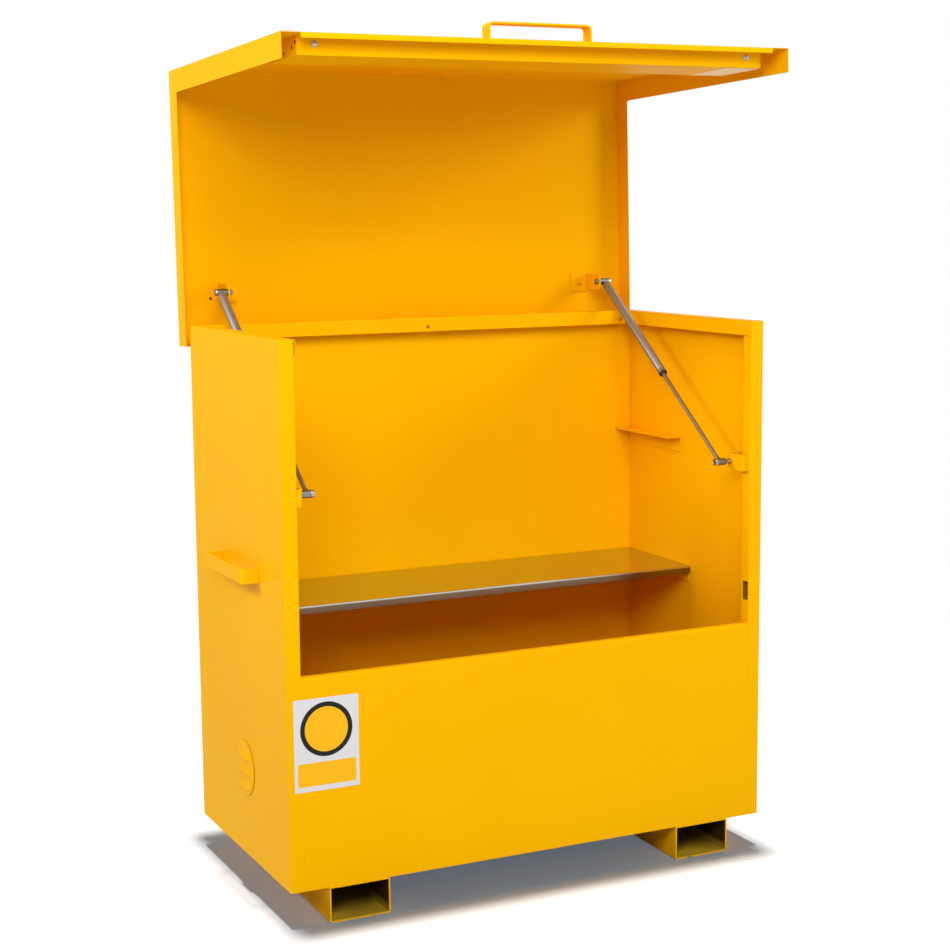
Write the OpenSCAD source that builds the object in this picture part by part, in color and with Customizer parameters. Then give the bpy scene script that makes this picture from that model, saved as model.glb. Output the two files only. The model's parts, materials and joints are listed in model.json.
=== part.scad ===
// Steel chemical storage chest with a fold-over lid, standing open on two fork skids.
// Millimetres, Z up. X runs from left to right across the front, Y from front to back.
// The origin lies on the floor, under the middle of the open chest's outer box.
// Lid pieces are drawn closed, then swung open about the hinge pins.

/* [Body] */
// Width of the body across its side panels
body_w = 1260; // [1000:10:1500]
// Depth of the body from front to back
body_d = 640; // [560:10:800]
// Height of the body above its skids
body_h = 1250; // [1100:10:1400]
// Thickness of the painted steel sheet
sheet = 1.5; // [1:0.1:2]
// Outer radius of a fold in the steel sheet
bend_r = 3.5; // [2.5:0.1:5]
// Width of the stile at each side of the front opening
stile_w = 35; // [32:1:45]
// Depth of the return behind each stile
stile_depth = 34; // [30:1:45]
// Width of the rim around the top of the body
rim_w = 38; // [30:1:45]
// Height of the lip that hangs from the rim
rim_lip = 36; // [20:1:50]
// Diameter of the holes in the rear lip
lip_hole_d = 9; // [6:0.5:14]
// Depth of those holes below the top of the body
lip_hole_drop = 24; // [18:1:28]
// Height of the front panel
front_h = 495; // [400:5:560]
// Depth of the ledge along the top of the front panel
ledge_depth = 25; // [15:1:30]
// Height of the lip that hangs from the ledge
ledge_lip = 12; // [8:1:30]
// Outer radius of the ledge's front fold
ledge_r = 6; // [4:0.5:8]
// Thickness of the floor plate
floor_t = 2; // [1.5:0.1:4]

/* [Skids] */
// Height of each skid
skid_h = 85; // [60:1:120]
// Width of each skid
skid_w = 150; // [120:1:180]
// Wall thickness of each skid
skid_wall = 4; // [3:0.5:6]
// Distance of each skid from the side of the body
skid_inset = 93; // [60:1:200]

/* [Vents] */
// Diameter of a vent cover
vent_d = 135; // [125:1:160]
// Distance of the vents from the front of the body
vent_y = 300; // [200:5:400]
// Height of the vents above the skids
vent_z = 214; // [150:1:300]
// Height that a vent cover stands out from the side
vent_rise = 3; // [2:0.5:6]
// Thickness of a vent cover
vent_t = 1.2; // [1:0.1:1.5]
// Width of the seat between a vent cover's edge and the hole behind it
vent_seat = 13; // [10:1:16]
// Number of louvres in a vent cover
louvre_count = 3; // [1:1:3]
// Distance between louvres
louvre_pitch = 37; // [34:1:38]
// Width of a louvre
louvre_w = 76; // [60:1:80]
// Height of a louvre
louvre_h = 20; // [14:1:24]
// Height that a louvre stands out from its cover
louvre_out = 6; // [4:0.5:10]
// Thickness of the gauze disc behind a vent
gauze_t = 1; // [0.6:0.1:2]

/* [Handles] */
// Length of a handle
handle_l = 262; // [180:2:300]
// Height that a handle stands out
handle_out = 43; // [35:1:60]
// Width of the handle strip
strip_w = 34; // [20:1:40]
// Thickness of the handle strip
strip_t = 5; // [3:0.5:6]
// Outer radius of the bends in a handle
strip_bend = 12; // [7:0.5:14]
// Distance from the front to the middle of a side handle
side_handle_y = 299; // [220:1:380]
// Height of the side handles above the skids
side_handle_z = 702; // [500:1:900]
// Distance from the lid's free edge to the middle of its handle
lid_handle_v = 63; // [50:1:80]

/* [Shelf] */
// Height of the shelf above the skids
shelf_z = 585; // [530:5:800]
// Distance from the front of the body to the shelf
shelf_y = 320; // [250:5:400]
// Thickness of the shelf sheet
shelf_t = 1.5; // [1:0.1:2]
// Height of the lip at the front and back of the shelf
shelf_lip = 20; // [12:1:30]
// Gap between the shelf and each side panel
shelf_gap = 1; // [0.3:0.1:3]
// Width of a shelf bracket's level leg
bracket_w = 45; // [30:1:48]
// Height of a shelf bracket's upright leg
bracket_h = 40; // [25:1:60]
// Thickness of a shelf bracket
bracket_t = 3; // [2:0.5:4]
// Distance from the shelf's front edge back to its brackets
lower_bracket_set = 3; // [2:0.5:40]
// Height of the upper shelf brackets above the skids
upper_bracket_z = 925; // [860:5:1000]
// Distance from the front of the body to the upper shelf brackets
upper_bracket_y = 369; // [330:5:450]

/* [Placard] */
// Width of the placard on the front panel
placard_w = 157; // [100:1:200]
// Height of the placard
placard_h = 214; // [120:1:240]
// Thickness of the placard
placard_t = 0.8; // [0.5:0.1:2]
// Distance of the placard from the left side of the body
placard_x = 14; // [8:1:60]
// Distance of the placard below the top of the front panel
placard_drop = 49; // [40:1:70]

/* [Lid] */
// Angle between the closed and the open lid
lid_angle = 91.87; // [88:0.01:95]
// Gap between the side of the body and the lid's cheek
cheek_gap = 6; // [3:0.5:10]
// Gap between the back of the body and the outer face of the rear skirt
rear_reach = 12.5; // [12:0.1:14]
// Distance of the drop panel's outer face ahead of the body
front_reach = 24.5; // [20:0.5:30]
// Height of the lid's top above the body
lid_rise = 12; // [8:0.5:20]
// Height of the rear skirt, which ends level with the hinge pins
skirt_h = 60; // [50:1:62]
// Height that the closed lid laps over the front panel
front_lap = 37; // [20:1:45]
// Width of the lid's cheeks
cheek_w = 56; // [40:1:70]
// Radius of the inner corner of a cheek
cheek_r = 6; // [3:1:20]
// Depth of the lip along the lid's free edge
edge_lip = 12.5; // [8:0.5:16]
// Distance that this lip stops short of the lid's sides
edge_lip_inset = 45; // [20:1:80]

/* [Hinges] */
// Distance from the side of the body to the middle of an outer hinge
hinge_inset = 52; // [46:1:200]
// Length of a hinge
hinge_l = 80; // [60:1:90]
// Distance of the hinge pins behind the back panel
hinge_back = 7; // [6.5:0.1:7.5]
// Radius of a hinge knuckle
knuckle_r = 5.5; // [5:0.1:6]
// Number of knuckles in a hinge
knuckles = 5; // [3:2:7]
// Diameter of a hinge pin
pin_d = 6; // [4:0.1:6.5]
// Radius of a hinge pin's head
pin_head_r = 4.5; // [3.5:0.1:5]
// Thickness of a hinge pin's head
pin_head_t = 1.5; // [1:0.1:3]
// Thickness of a hinge leaf
leaf_t = 2.5; // [2:0.1:3]
// Height of a hinge leaf
leaf_h = 45; // [30:1:50]

/* [Lock] */
// Depth of the lock rail
rail_depth = 42.5; // [38:0.5:50]
// Height of the lock rail
rail_h = 175; // [120:1:200]
// Gap between the front panel's ledge and the closed lock rail
rail_gap = 5; // [4:1:20]
// Gap between the lock rail's end and the stile's return
rail_end_gap = 8; // [4:0.5:9]
// Diameter of a lock bolt
bolt_d = 10; // [8:0.5:11]
// Distance that a lock bolt moves
bolt_throw = 18; // [14:0.5:20]
// Distance that a drawn bolt stands out from the rail
bolt_tip = 1; // [0.5:0.1:2]
// Distance of the closed lock bolts behind the front of the body
bolt_y = 9.5; // [9:0.1:11]
// Height of the lock bolts above the rail's lower face
bolt_rise = 77; // [60:1:90]
// Width of the strike slot in a stile's return
strike_w = 23.5; // [18:0.5:26]
// Height of the strike slot
strike_h = 47; // [20:1:60]
// Gap between a lock bolt and the front of its strike slot
strike_play = 0.5; // [0.4:0.1:2]
// Depth of the pocket behind a strike slot
pocket_d = 24; // [20:1:28]
// Diameter of the lock barrel
barrel_d = 18; // [14:1:22]
// Distance that the lock barrel stands out from its escutcheon
barrel_out = 2; // [1:0.5:5]
// Diameter of the escutcheon around the lock barrel
escutcheon_d = 52; // [40:1:60]
// Thickness of the escutcheon
escutcheon_t = 4; // [2:0.5:6]
// Width of the key slot
key_slot = 2; // [1:0.5:3]
// Diameter of the lock's cam
cam_d = 36; // [33:1:44]
// Thickness of the lock's cam
cam_t = 3; // [2:0.5:4]
// Diameter of the cam's pins
cam_pin_d = 6; // [4:0.5:7]
// Play of a cam pin across its yoke slot
yoke_play = 0.6; // [0.5:0.1:0.9]
// Thickness of a bolt's yoke
yoke_t = 5; // [3:0.5:6]
// Width of the metal around a yoke slot
yoke_wall = 5; // [3:0.5:6]
// Distance from the middle of the lock to the rod of each bolt
rod_start = 36; // [32:1:60]
// Distance from the middle of the lock to a bolt guide
guide_x = 300; // [100:10:400]
// Width of the blank plate inside the lid
inner_plate_w = 90; // [50:1:120]
// Height of the blank plate inside the lid
inner_plate_h = 162; // [80:1:162]
// Thickness of the blank plate inside the lid
inner_plate_t = 0.6; // [0.4:0.1:1]
// Distance from the lock rail's end to its screw
rail_screw_x = 41; // [20:1:100]
// Depth of the rail's screws under the drop panel's inner face
rail_screw_v = 18; // [12:1:24]
// Depth of the upper hole in each rail end under the drop panel's inner face
upper_hole_v = 23; // [18:1:28]
// Height of that hole above the rail's lower face
upper_hole_rise = 31; // [26:1:44]
// Depth of the lower hole in each rail end under the drop panel's inner face
lower_hole_v = 14; // [10:1:20]
// Height of that hole above the rail's lower face
lower_hole_rise = 11; // [9:0.5:14]
// Diameter of the holes in the rail's ends
rail_hole_d = 10; // [6:0.5:12]

/* [Gas struts] */
// Distance from the side of the body to a strut's centre line
strut_inset = 82; // [76:1:100]
// Distance of the upper ball from the rear skirt's outer face
ball_u = 132; // [120:1:150]
// Depth of the upper ball under the lid's top
ball_v = 72; // [60:1:80]
// Distance of the lower ball from the front of the body
foot_y = 64; // [50:1:68]
// Depth of the lower ball under the top of the body
foot_drop = 351; // [320:1:380]
// Diameter of a ball
ball_d = 10; // [9.5:0.1:11]
// Diameter of a ball's stud
stud_d = 8; // [6:0.1:8.5]
// Diameter of a ball socket
socket_d = 18; // [16:0.5:20]
// Width of a ball socket
socket_w = 30; // [24:1:34]
// Diameter of a ball socket's neck
neck_d = 13; // [12:0.5:15]
// Length of a ball socket's neck from the ball
neck_l = 12; // [11:0.5:16]
// Diameter of a strut's tube
tube_d = 22; // [20:0.5:24]
// Wall thickness of a strut's tube
tube_wall = 1; // [0.8:0.1:1.5]
// Length of a strut's tube
tube_l = 368; // [330:1:390]
// Length of the black cap on a tube
cap_l = 6; // [4:1:12]
// Diameter of a strut's rod
rod_d = 10; // [8:0.1:11]
// Length of the rod that stays in the tube at full reach
rod_hold = 46; // [43:1:60]
// Length of the guide bush inside a tube's mouth
bush_l = 20; // [10:1:22]
// Length of the closed end of a tube
tube_end = 8; // [4:1:12]
// Length of the piston
piston_l = 12; // [8:1:20]
// Thickness of the strut brackets on the lid
lug_t = 4; // [3:0.5:5]
// Length of the collar between an upper socket and its lid bracket
collar_l = 1.7; // [1:0.1:6]
// Width of a lid bracket's base
lug_base_w = 50; // [40:1:80]
// Length of a lid bracket's base
lug_base_l = 52; // [46:1:60]
// Length of a lid bracket's leg
lug_leg_l = 42; // [34:1:46]
// Distance from the ball to the end of the leg
lug_end = 10; // [8:0.5:14]
// Distance that a strut foot stands in from the stile's return
foot_stand = 16; // [10:0.5:18]
// Thickness of a strut foot
foot_t = 3; // [2:0.5:4]
// Distance from the front of the body to a strut foot
foot_front = 10; // [6:1:24]
// Distance from the lower ball to the back of a strut foot
foot_edge = 12; // [10:1:30]
// Width across the corners of a strut nut
nut_d = 15; // [13:0.5:17]
// Height of a strut nut
nut_h = 6.5; // [4:0.5:8]
// Length of the threaded end that stands out of a nut
thread_end = 3; // [1:0.5:6]
// Diameter of the washer under a lid bracket nut
washer_d = 18; // [16:1:24]
// Thickness of that washer
washer_t = 1.6; // [1:0.1:3]
// Diameter of the plugs beside the lid brackets
plug_d = 10; // [6:1:12]
// Thickness of those plugs
plug_t = 1.5; // [0.5:0.1:3]
// Height of a strut foot
foot_h = 40; // [30:1:60]

/* [Fits] */
// Running clearance around a pin, rod or bolt
fit = 0.05; // [0.02:0.01:0.1]
// Running clearance beside a moving piece
side_gap = 0.3; // [0.2:0.05:0.5]

/* [Hidden] */
$fn = 48;

yellow_paint = [0.98, 0.74, 0.02];
galvanised = [0.72, 0.74, 0.74];
zinc = [0.66, 0.67, 0.68];
silver_tube = [0.80, 0.81, 0.83];
dark_steel = [0.20, 0.20, 0.22];
black_plastic = [0.08, 0.08, 0.09];
white_card = [0.93, 0.93, 0.92];

half_w = body_w / 2;
top_z = skid_h + body_h;
front_top = skid_h + front_h;
floor_z = skid_h + floor_t;
left = -1;
right = 1;
cut = 1;

lid_w = body_w + 2 * (cheek_gap + sheet);
lid_top = top_z + lid_rise;
lid_back = body_d + rear_reach;
lid_front = -front_reach;
edge_z = front_top - front_lap;
hinge_y = body_d + hinge_back;
hinge_z = lid_top - skirt_h;
panel_in = lid_front + sheet;
hinge_x = [-half_w + hinge_inset, 0, half_w - hinge_inset];
knuckle_pitch = (hinge_l + side_gap) / knuckles;

rail_half = half_w - stile_w - rail_end_gap;
rail_z = front_top + rail_gap;
rail_in = panel_in + rail_depth;
bolt_z = rail_z + bolt_rise;
cam_pin_r = bolt_throw / 2 * sqrt(2);
cam_y = bolt_y - yoke_t / 2 - side_gap - cam_t;

ball_closed = [lid_back - ball_u, lid_top - ball_v];
foot_point = [foot_y, top_z - foot_drop];
foot_face = stile_w + foot_stand;
lug_x = socket_w / 2 + side_gap + collar_l;
strike_front = bolt_y - bolt_d / 2 - strike_play;

// A point of the closed lid, in Y and Z, once the lid stands open
function opened(p) =
    let (d = p - [hinge_y, hinge_z])
    [hinge_y + d[0] * cos(lid_angle) + d[1] * sin(lid_angle),
     hinge_z - d[0] * sin(lid_angle) + d[1] * cos(lid_angle)];

ball_open = opened(ball_closed);
strut_open = norm(foot_point - ball_open);
strut_closed = norm(foot_point - ball_closed);
strut_tilt = atan2(foot_point[1] - ball_open[1], foot_point[0] - ball_open[0]);

// Middle of the open chest, from the cheeks' front corners to the lid's rear fold
middle_y = (opened([lid_front + cheek_w, edge_z])[0]
    + opened([lid_front + bend_r, lid_top - bend_r])[0] + bend_r) / 2;

// Half a turn or less about a corner of a folded sheet, offset to its left by d
function fold_arc(a, b, c, r, d) =
    let (
        u = (b - a) / norm(b - a),
        v = (c - b) / norm(c - b),
        turn = sign(cross(u, v)),
        angle = acos(u * v),
        side = [-u[1], u[0]],
        centre = b - u * r * tan(angle / 2) + side * r * turn,
        steps = 5
    )
    [for (i = [0 : steps])
        let (t = turn * angle * i / steps)
        centre - turn * (r - turn * d) * [side[0] * cos(t) - side[1] * sin(t),
                                          side[0] * sin(t) + side[1] * cos(t)]];

// One face of a folded sheet along an open path, offset to its left by d
function fold_face(path, r, d) =
    let (
        last = len(path) - 1,
        u = (path[1] - path[0]) / norm(path[1] - path[0]),
        v = (path[last] - path[last - 1]) / norm(path[last] - path[last - 1])
    )
    concat(
        [path[0] + d * [-u[1], u[0]]],
        [for (i = [1 : last - 1]) each fold_arc(path[i - 1], path[i], path[i + 1], r, d)],
        [path[last] + d * [-v[1], v[0]]]
    );

function reversed(points) = [for (i = [len(points) - 1 : -1 : 0]) points[i]];

// Section of a folded sheet whose outer face follows the path
module folded(path, t, r) {
    polygon(concat(fold_face(path, r, 0), reversed(fold_face(path, r, t))));
}

// Outline with a radius for each corner, where zero leaves it sharp
module rounded(points, radii) {
    n = len(points);
    polygon([for (i = [0 : n - 1])
        each radii[i] > 0
            ? fold_arc(points[(i + n - 1) % n], points[i], points[(i + 1) % n], radii[i], 0)
            : [points[i]]]);
}

module in_place() {
    translate([0, -middle_y, 0]) children();
}

// Swings a piece of the closed lid to its open place
module on_lid() {
    in_place()
        translate([0, hinge_y, hinge_z])
            rotate([-lid_angle, 0, 0])
                translate([0, -hinge_y, -hinge_z])
                    children();
}

// Draws a left-hand piece on either side of the chest
module on_side(side) {
    mirror([side == right ? 1 : 0, 0, 0]) children();
}

// Extrudes a section in Y and Z along X, centred on the chest
module across(width) {
    translate([-width / 2, 0, 0]) rotate([90, 0, 90]) linear_extrude(width) children();
}

// Extrudes a section in X and Z from front to back
module backward(y0, y1) {
    translate([0, y1, 0]) rotate([90, 0, 0]) linear_extrude(y1 - y0) children();
}

// Round bar along X from x0 to x1, about a point in Y and Z
module bar_x(x0, x1, r, at) {
    translate([x0, at[0], at[1]]) rotate([0, 90, 0]) cylinder(h = x1 - x0, r = r);
}

// Round bar along Y from y0 to y1, about a point in X and Z
module bar_y(y0, y1, r, at) {
    translate([at[0], y0, at[1]]) rotate([-90, 0, 0]) cylinder(h = y1 - y0, r = r);
}

// Ball with its poles along X, where its stud leaves it
module ball(r) {
    rotate([0, 90, 0]) sphere(r = r);
}

// Block between two corners
module block(low, high) {
    translate(low) cube(high - low);
}

// Side panel with its stile, return, rim and lip
module side_panel(side) {
    return_foot = front_top - stile_depth;
    color(yellow_paint) in_place() on_side(side) difference() {
        intersection() {
            union() {
                translate([-half_w, 0, return_foot]) linear_extrude(top_z - return_foot)
                    folded([[0, body_d], [0, 0], [stile_w, 0], [stile_w, stile_depth]],
                        sheet, bend_r);
                translate([-half_w, 0, skid_h]) linear_extrude(front_h)
                    folded([[0, body_d], [0, 0], [stile_w, 0]], sheet, bend_r);
                translate([-half_w, 0, 0]) backward(0, body_d - rim_w + sheet)
                    folded([[0, skid_h], [0, top_z], [rim_w, top_z], [rim_w, top_z - rim_lip]],
                        -sheet, bend_r);
                translate([-half_w, 0, 0]) backward(0, body_d)
                    folded([[0, skid_h], [0, top_z], [rim_w, top_z]], -sheet, bend_r);
            }
            translate([-half_w, 0, skid_h]) linear_extrude(body_h)
                rounded([[0, 0], [half_w, 0], [half_w, body_d], [0, body_d]],
                    [bend_r, 0, 0, sheet]);
            translate([-half_w, 0, 0]) backward(0, body_d)
                rounded([[0, skid_h], [half_w, skid_h], [half_w, top_z], [0, top_z]],
                    [0, 0, 0, bend_r]);
        }
        block([-half_w + stile_w - sheet - cut, strike_front, bolt_z - strike_h / 2],
            [-half_w + stile_w + cut, strike_front + strike_w, bolt_z + strike_h / 2]);
        bar_x(-half_w - cut, -half_w + sheet + cut, vent_d / 2 - vent_seat,
            [vent_y, skid_h + vent_z]);
    }
}

module left_side_panel() {
    side_panel(left);
}

module right_side_panel() {
    side_panel(right);
}

// Pockets welded behind the strike slots, each open toward its slot and the stile
module strike_pockets() {
    back = strike_front + strike_w;
    color(yellow_paint) in_place() for (side = [left, right])
        on_side(side) translate([-half_w + stile_w - sheet, 0, bolt_z]) difference() {
            block([-pocket_d, bend_r, -strike_h / 2 - sheet], [0, back + sheet, strike_h / 2 + sheet]);
            block([-pocket_d + sheet, bend_r - cut, -strike_h / 2], [cut, back, strike_h / 2]);
        }
}

// Back panel with the rear rim and lip between the side rims
module back_panel() {
    color(yellow_paint) in_place() difference() {
        union() {
            across(body_w - 2 * rim_w)
                folded([[body_d, skid_h], [body_d, top_z], [body_d - rim_w, top_z],
                    [body_d - rim_w, top_z - rim_lip]], sheet, bend_r);
            for (x = [-half_w + sheet, half_w - rim_w])
                block([x, body_d - sheet, skid_h], [x + rim_w - sheet, body_d, top_z - sheet]);
        }
        for (x = hinge_x)
            bar_y(body_d - rim_w - cut, body_d - rim_w + sheet + cut, lip_hole_d / 2,
                [x, top_z - lip_hole_drop]);
    }
}

// Front panel, flush with the stiles, with its ledge and hanging lip
module front_panel() {
    color(yellow_paint) in_place() across(body_w - 2 * stile_w)
        folded([[ledge_depth, front_top - ledge_lip], [ledge_depth, front_top],
            [0, front_top], [0, skid_h]], sheet, ledge_r);
}

// Floor plate between the walls
module floor_plate() {
    color(yellow_paint) in_place()
        block([-half_w + sheet, sheet, skid_h], [half_w - sheet, body_d - sheet, floor_z]);
}

// Open-ended box section that takes a fork
module skid(side) {
    inner = skid_w - skid_wall;
    color(yellow_paint) in_place() on_side(side) backward(0, body_d)
        translate([-half_w + skid_inset, 0]) difference() {
            rounded([[0, 0], [skid_w, 0], [skid_w, skid_h], [0, skid_h]],
                [skid_wall, skid_wall, skid_wall, skid_wall]);
            polygon([[skid_wall, skid_wall], [inner, skid_wall],
                [inner, skid_h - skid_wall], [skid_wall, skid_h - skid_wall]]);
        }
}

module left_skid() {
    skid(left);
}

module right_skid() {
    skid(right);
}

// Hood of one louvre, in the height that it stands out and its own height
module louvre_side(inset) {
    out = louvre_out - inset;
    height = louvre_h - inset;
    polygon(concat(
        [[0, 0]],
        [for (a = [0 : 15 : 90]) [-out * cos(a), height * sin(a)]]
    ));
}

// Raised vent cover with hooded louvres that open downward
module vent_cover(side) {
    face_x = -half_w - vent_rise;
    top_r = vent_d / 2 - vent_rise;
    first = -(louvre_count - 1) / 2 * louvre_pitch - louvre_h / 2;
    color(yellow_paint) in_place() on_side(side)
        translate([0, vent_y, skid_h + vent_z]) {
            difference() {
                union() {
                    translate([-half_w, 0, 0]) rotate([0, -90, 0]) rotate_extrude() polygon([
                        [top_r - 2 * vent_t, 0], [vent_d / 2, 0], [vent_d / 2, vent_t],
                        [top_r, vent_rise], [0, vent_rise], [0, vent_rise - vent_t],
                        [top_r - 2 * vent_t, vent_rise - vent_t]]);
                    for (i = [0 : louvre_count - 1])
                        translate([face_x, louvre_w / 2, first + i * louvre_pitch])
                            rotate([90, 0, 0]) linear_extrude(louvre_w) louvre_side(0);
                }
                for (i = [0 : louvre_count - 1])
                    translate([face_x, louvre_w / 2 - vent_t, first + i * louvre_pitch])
                        rotate([90, 0, 0]) linear_extrude(louvre_w - 2 * vent_t)
                            union() {
                                louvre_side(vent_t);
                                translate([-louvre_out + vent_t, -cut])
                                    square([louvre_out - vent_t, cut]);
                                square([vent_rise, louvre_h - vent_t]);
                            }
            }
        }
}

module left_vent_cover() {
    vent_cover(left);
}

module right_vent_cover() {
    vent_cover(right);
}

// Gauze disc that lies behind a vent, against the side panel
module vent_gauze(side) {
    color(dark_steel) in_place() on_side(side)
        bar_x(-half_w + sheet, -half_w + sheet + gauze_t, vent_d / 2,
            [vent_y, skid_h + vent_z]);
}

module left_vent_gauze() {
    vent_gauze(left);
}

module right_vent_gauze() {
    vent_gauze(right);
}

// Half-depth shelf with its lips turned down, the rear lip cut away over the brackets
module shelf() {
    z = skid_h + shelf_z;
    back = body_d - sheet;
    shelf_half = half_w - sheet - shelf_gap;
    color(galvanised) in_place() difference() {
        across(2 * shelf_half)
            folded([[back, z - shelf_lip], [back, z], [shelf_y, z], [shelf_y, z - shelf_lip]],
                shelf_t, bend_r);
        for (side = [left, right])
            on_side(side)
                block([-shelf_half - cut, back - bend_r, z - shelf_lip - cut],
                    [-shelf_half + bracket_w, back + cut, z - shelf_t]);
    }
}

// Steel angle on a side panel, level leg on top
module shelf_bracket(side, z, y0, y1) {
    color(yellow_paint) in_place() on_side(side) translate([-half_w + sheet, 0, z])
        backward(y0, y1)
            folded([[0, -bracket_h], [0, 0], [bracket_w, 0]], -bracket_t, bend_r + bracket_t);
}

module lower_shelf_bracket(side) {
    shelf_bracket(side, skid_h + shelf_z - shelf_t, shelf_y + lower_bracket_set, body_d - sheet);
}

module upper_shelf_bracket(side) {
    shelf_bracket(side, skid_h + upper_bracket_z, upper_bracket_y, body_d - sheet);
}

module lower_left_shelf_bracket() {
    lower_shelf_bracket(left);
}

module lower_right_shelf_bracket() {
    lower_shelf_bracket(right);
}

module upper_left_shelf_bracket() {
    upper_shelf_bracket(left);
}

module upper_right_shelf_bracket() {
    upper_shelf_bracket(right);
}

// Section of a bent strip handle that stands out toward minus Y
module handle_section() {
    folded([[-handle_l / 2, 0], [-handle_l / 2, -handle_out], [handle_l / 2, -handle_out],
        [handle_l / 2, 0]], strip_t, strip_bend);
}

module side_handle(side) {
    color(yellow_paint) in_place() on_side(side)
        translate([-half_w, side_handle_y, skid_h + side_handle_z - strip_w / 2])
            rotate([0, 0, -90]) linear_extrude(strip_w) handle_section();
}

module left_side_handle() {
    side_handle(left);
}

module right_side_handle() {
    side_handle(right);
}

// Every second knuckle of a hinge, with the strap that joins it to its leaf
module hinge_knuckles(first, strap_low, strap_high) {
    for (i = [first : 2 : knuckles - 1])
        let (x0 = -hinge_l / 2 + i * knuckle_pitch, x1 = x0 + knuckle_pitch - side_gap) {
            bar_x(x0, x1, knuckle_r, [hinge_y, hinge_z]);
            block([x0, strap_low[0], strap_low[1]], [x1, strap_high[0], strap_high[1]]);
        }
}

module hinge_bore() {
    bar_x(-hinge_l, hinge_l, pin_d / 2 + fit, [hinge_y, hinge_z]);
}

// Leaf welded to the back panel
module hinge_body_leaf(x) {
    leaf_top = hinge_z - knuckle_r - cut;
    color(yellow_paint) in_place() translate([x, 0, 0]) difference() {
        union() {
            block([-hinge_l / 2, body_d, leaf_top - leaf_h],
                [hinge_l / 2, body_d + leaf_t, leaf_top]);
            hinge_knuckles(0, [body_d, leaf_top], [hinge_y, hinge_z]);
        }
        hinge_bore();
    }
}

module left_hinge_body_leaf() {
    hinge_body_leaf(hinge_x[0]);
}

module middle_hinge_body_leaf() {
    hinge_body_leaf(hinge_x[1]);
}

module right_hinge_body_leaf() {
    hinge_body_leaf(hinge_x[2]);
}

// Leaf welded inside the rear skirt
module hinge_lid_leaf(x) {
    leaf_y = lid_back - sheet;
    leaf_foot = hinge_z + knuckle_r + cut;
    color(yellow_paint) on_lid() translate([x, 0, 0]) difference() {
        union() {
            block([-hinge_l / 2, leaf_y - leaf_t, leaf_foot],
                [hinge_l / 2, leaf_y, leaf_foot + leaf_h]);
            hinge_knuckles(1, [hinge_y, hinge_z], [leaf_y, leaf_foot]);
        }
        hinge_bore();
    }
}

module left_hinge_lid_leaf() {
    hinge_lid_leaf(hinge_x[0]);
}

module middle_hinge_lid_leaf() {
    hinge_lid_leaf(hinge_x[1]);
}

module right_hinge_lid_leaf() {
    hinge_lid_leaf(hinge_x[2]);
}

// Headed pins, one in each hinge
module hinge_pins() {
    color(zinc) in_place() for (x = hinge_x) translate([x, 0, 0]) {
        bar_x(-hinge_l / 2, hinge_l / 2, pin_d / 2, [hinge_y, hinge_z]);
        bar_x(-hinge_l / 2 - pin_head_t, -hinge_l / 2, pin_head_r, [hinge_y, hinge_z]);
        bar_x(hinge_l / 2, hinge_l / 2 + pin_head_t, pin_head_r, [hinge_y, hinge_z]);
    }
}

// Folded strap that carries the lower ball stud off the stile and the side panel
module strut_foot(side) {
    back = foot_y + foot_edge;
    color(yellow_paint) in_place() on_side(side) translate([-half_w, 0, 0]) difference() {
        translate([0, 0, foot_point[1] - foot_h / 2]) linear_extrude(foot_h)
            folded([[stile_w, foot_front], [foot_face, foot_front], [foot_face, back],
                [sheet, back]], foot_t, foot_t + 1);
        bar_x(foot_face - foot_t - cut, foot_face + cut, stud_d / 2 + fit, foot_point);
    }
}

module left_strut_foot() {
    strut_foot(left);
}

module right_strut_foot() {
    strut_foot(right);
}

// Hexagon nut along X
module nut_x(x0, at) {
    translate([x0, at[0], at[1]]) rotate([0, 90, 0]) cylinder(h = nut_h, r = nut_d / 2, $fn = 6);
}

// Nuts behind the strut feet, each with the end of its stud
module strut_foot_nuts() {
    color(zinc) in_place() for (side = [left, right])
        on_side(side) translate([-half_w + foot_face - foot_t, 0, 0]) {
            nut_x(-nut_h, foot_point);
            bar_x(-nut_h - thread_end, foot_t - side_gap, stud_d / 2, foot_point);
        }
}

// Bare plate on the front panel
module placard() {
    low = front_top - placard_drop - placard_h;
    color(white_card) in_place()
        block([-half_w + placard_x, -placard_t, low],
            [-half_w + placard_x + placard_w, 0, low + placard_h]);
}

// Section of the lid's wrap, from the rear skirt over the top to the free edge
function wrap_path() = [[lid_back, hinge_z], [lid_back, lid_top], [lid_front, lid_top],
    [lid_front, edge_z]];

// Rear skirt, top and drop panel, folded from one sheet and cut away at the hinges
module lid_wrap() {
    end_w = edge_lip_inset - sheet;
    hinge_room = hinge_l / 2 + pin_head_t + cut;
    color(yellow_paint) on_lid() difference() {
        union() {
            across(lid_w - 2 * edge_lip_inset)
                folded(concat(wrap_path(), [[lid_front + edge_lip, edge_z]]), sheet, bend_r);
            for (side = [left, right])
                translate([side * (lid_w / 2 - sheet - end_w / 2), 0, 0]) across(end_w)
                    folded(wrap_path(), sheet, bend_r);
        }
        for (x = hinge_x)
            block([x - hinge_room, lid_back - sheet - cut, hinge_z - cut],
                [x + hinge_room, lid_back + cut, hinge_z + knuckle_r + cut]);
        bar_y(lid_front - cut, panel_in + cut, barrel_d / 2 + cut, [0, bolt_z]);
    }
}

// L-shaped side of the lid, welded over the end of the wrap
module lid_cheek(side) {
    color(yellow_paint) on_lid() on_side(side)
        translate([-(lid_w - sheet) / 2, 0, 0]) across(sheet)
            rounded([[lid_back, lid_top - cheek_w], [lid_back, lid_top], [lid_front, lid_top],
                [lid_front, edge_z], [lid_front + cheek_w, edge_z],
                [lid_front + cheek_w, lid_top - cheek_w]],
                [0, bend_r, bend_r, 0, 0, cheek_r]);
}

module left_lid_cheek() {
    lid_cheek(left);
}

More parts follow.
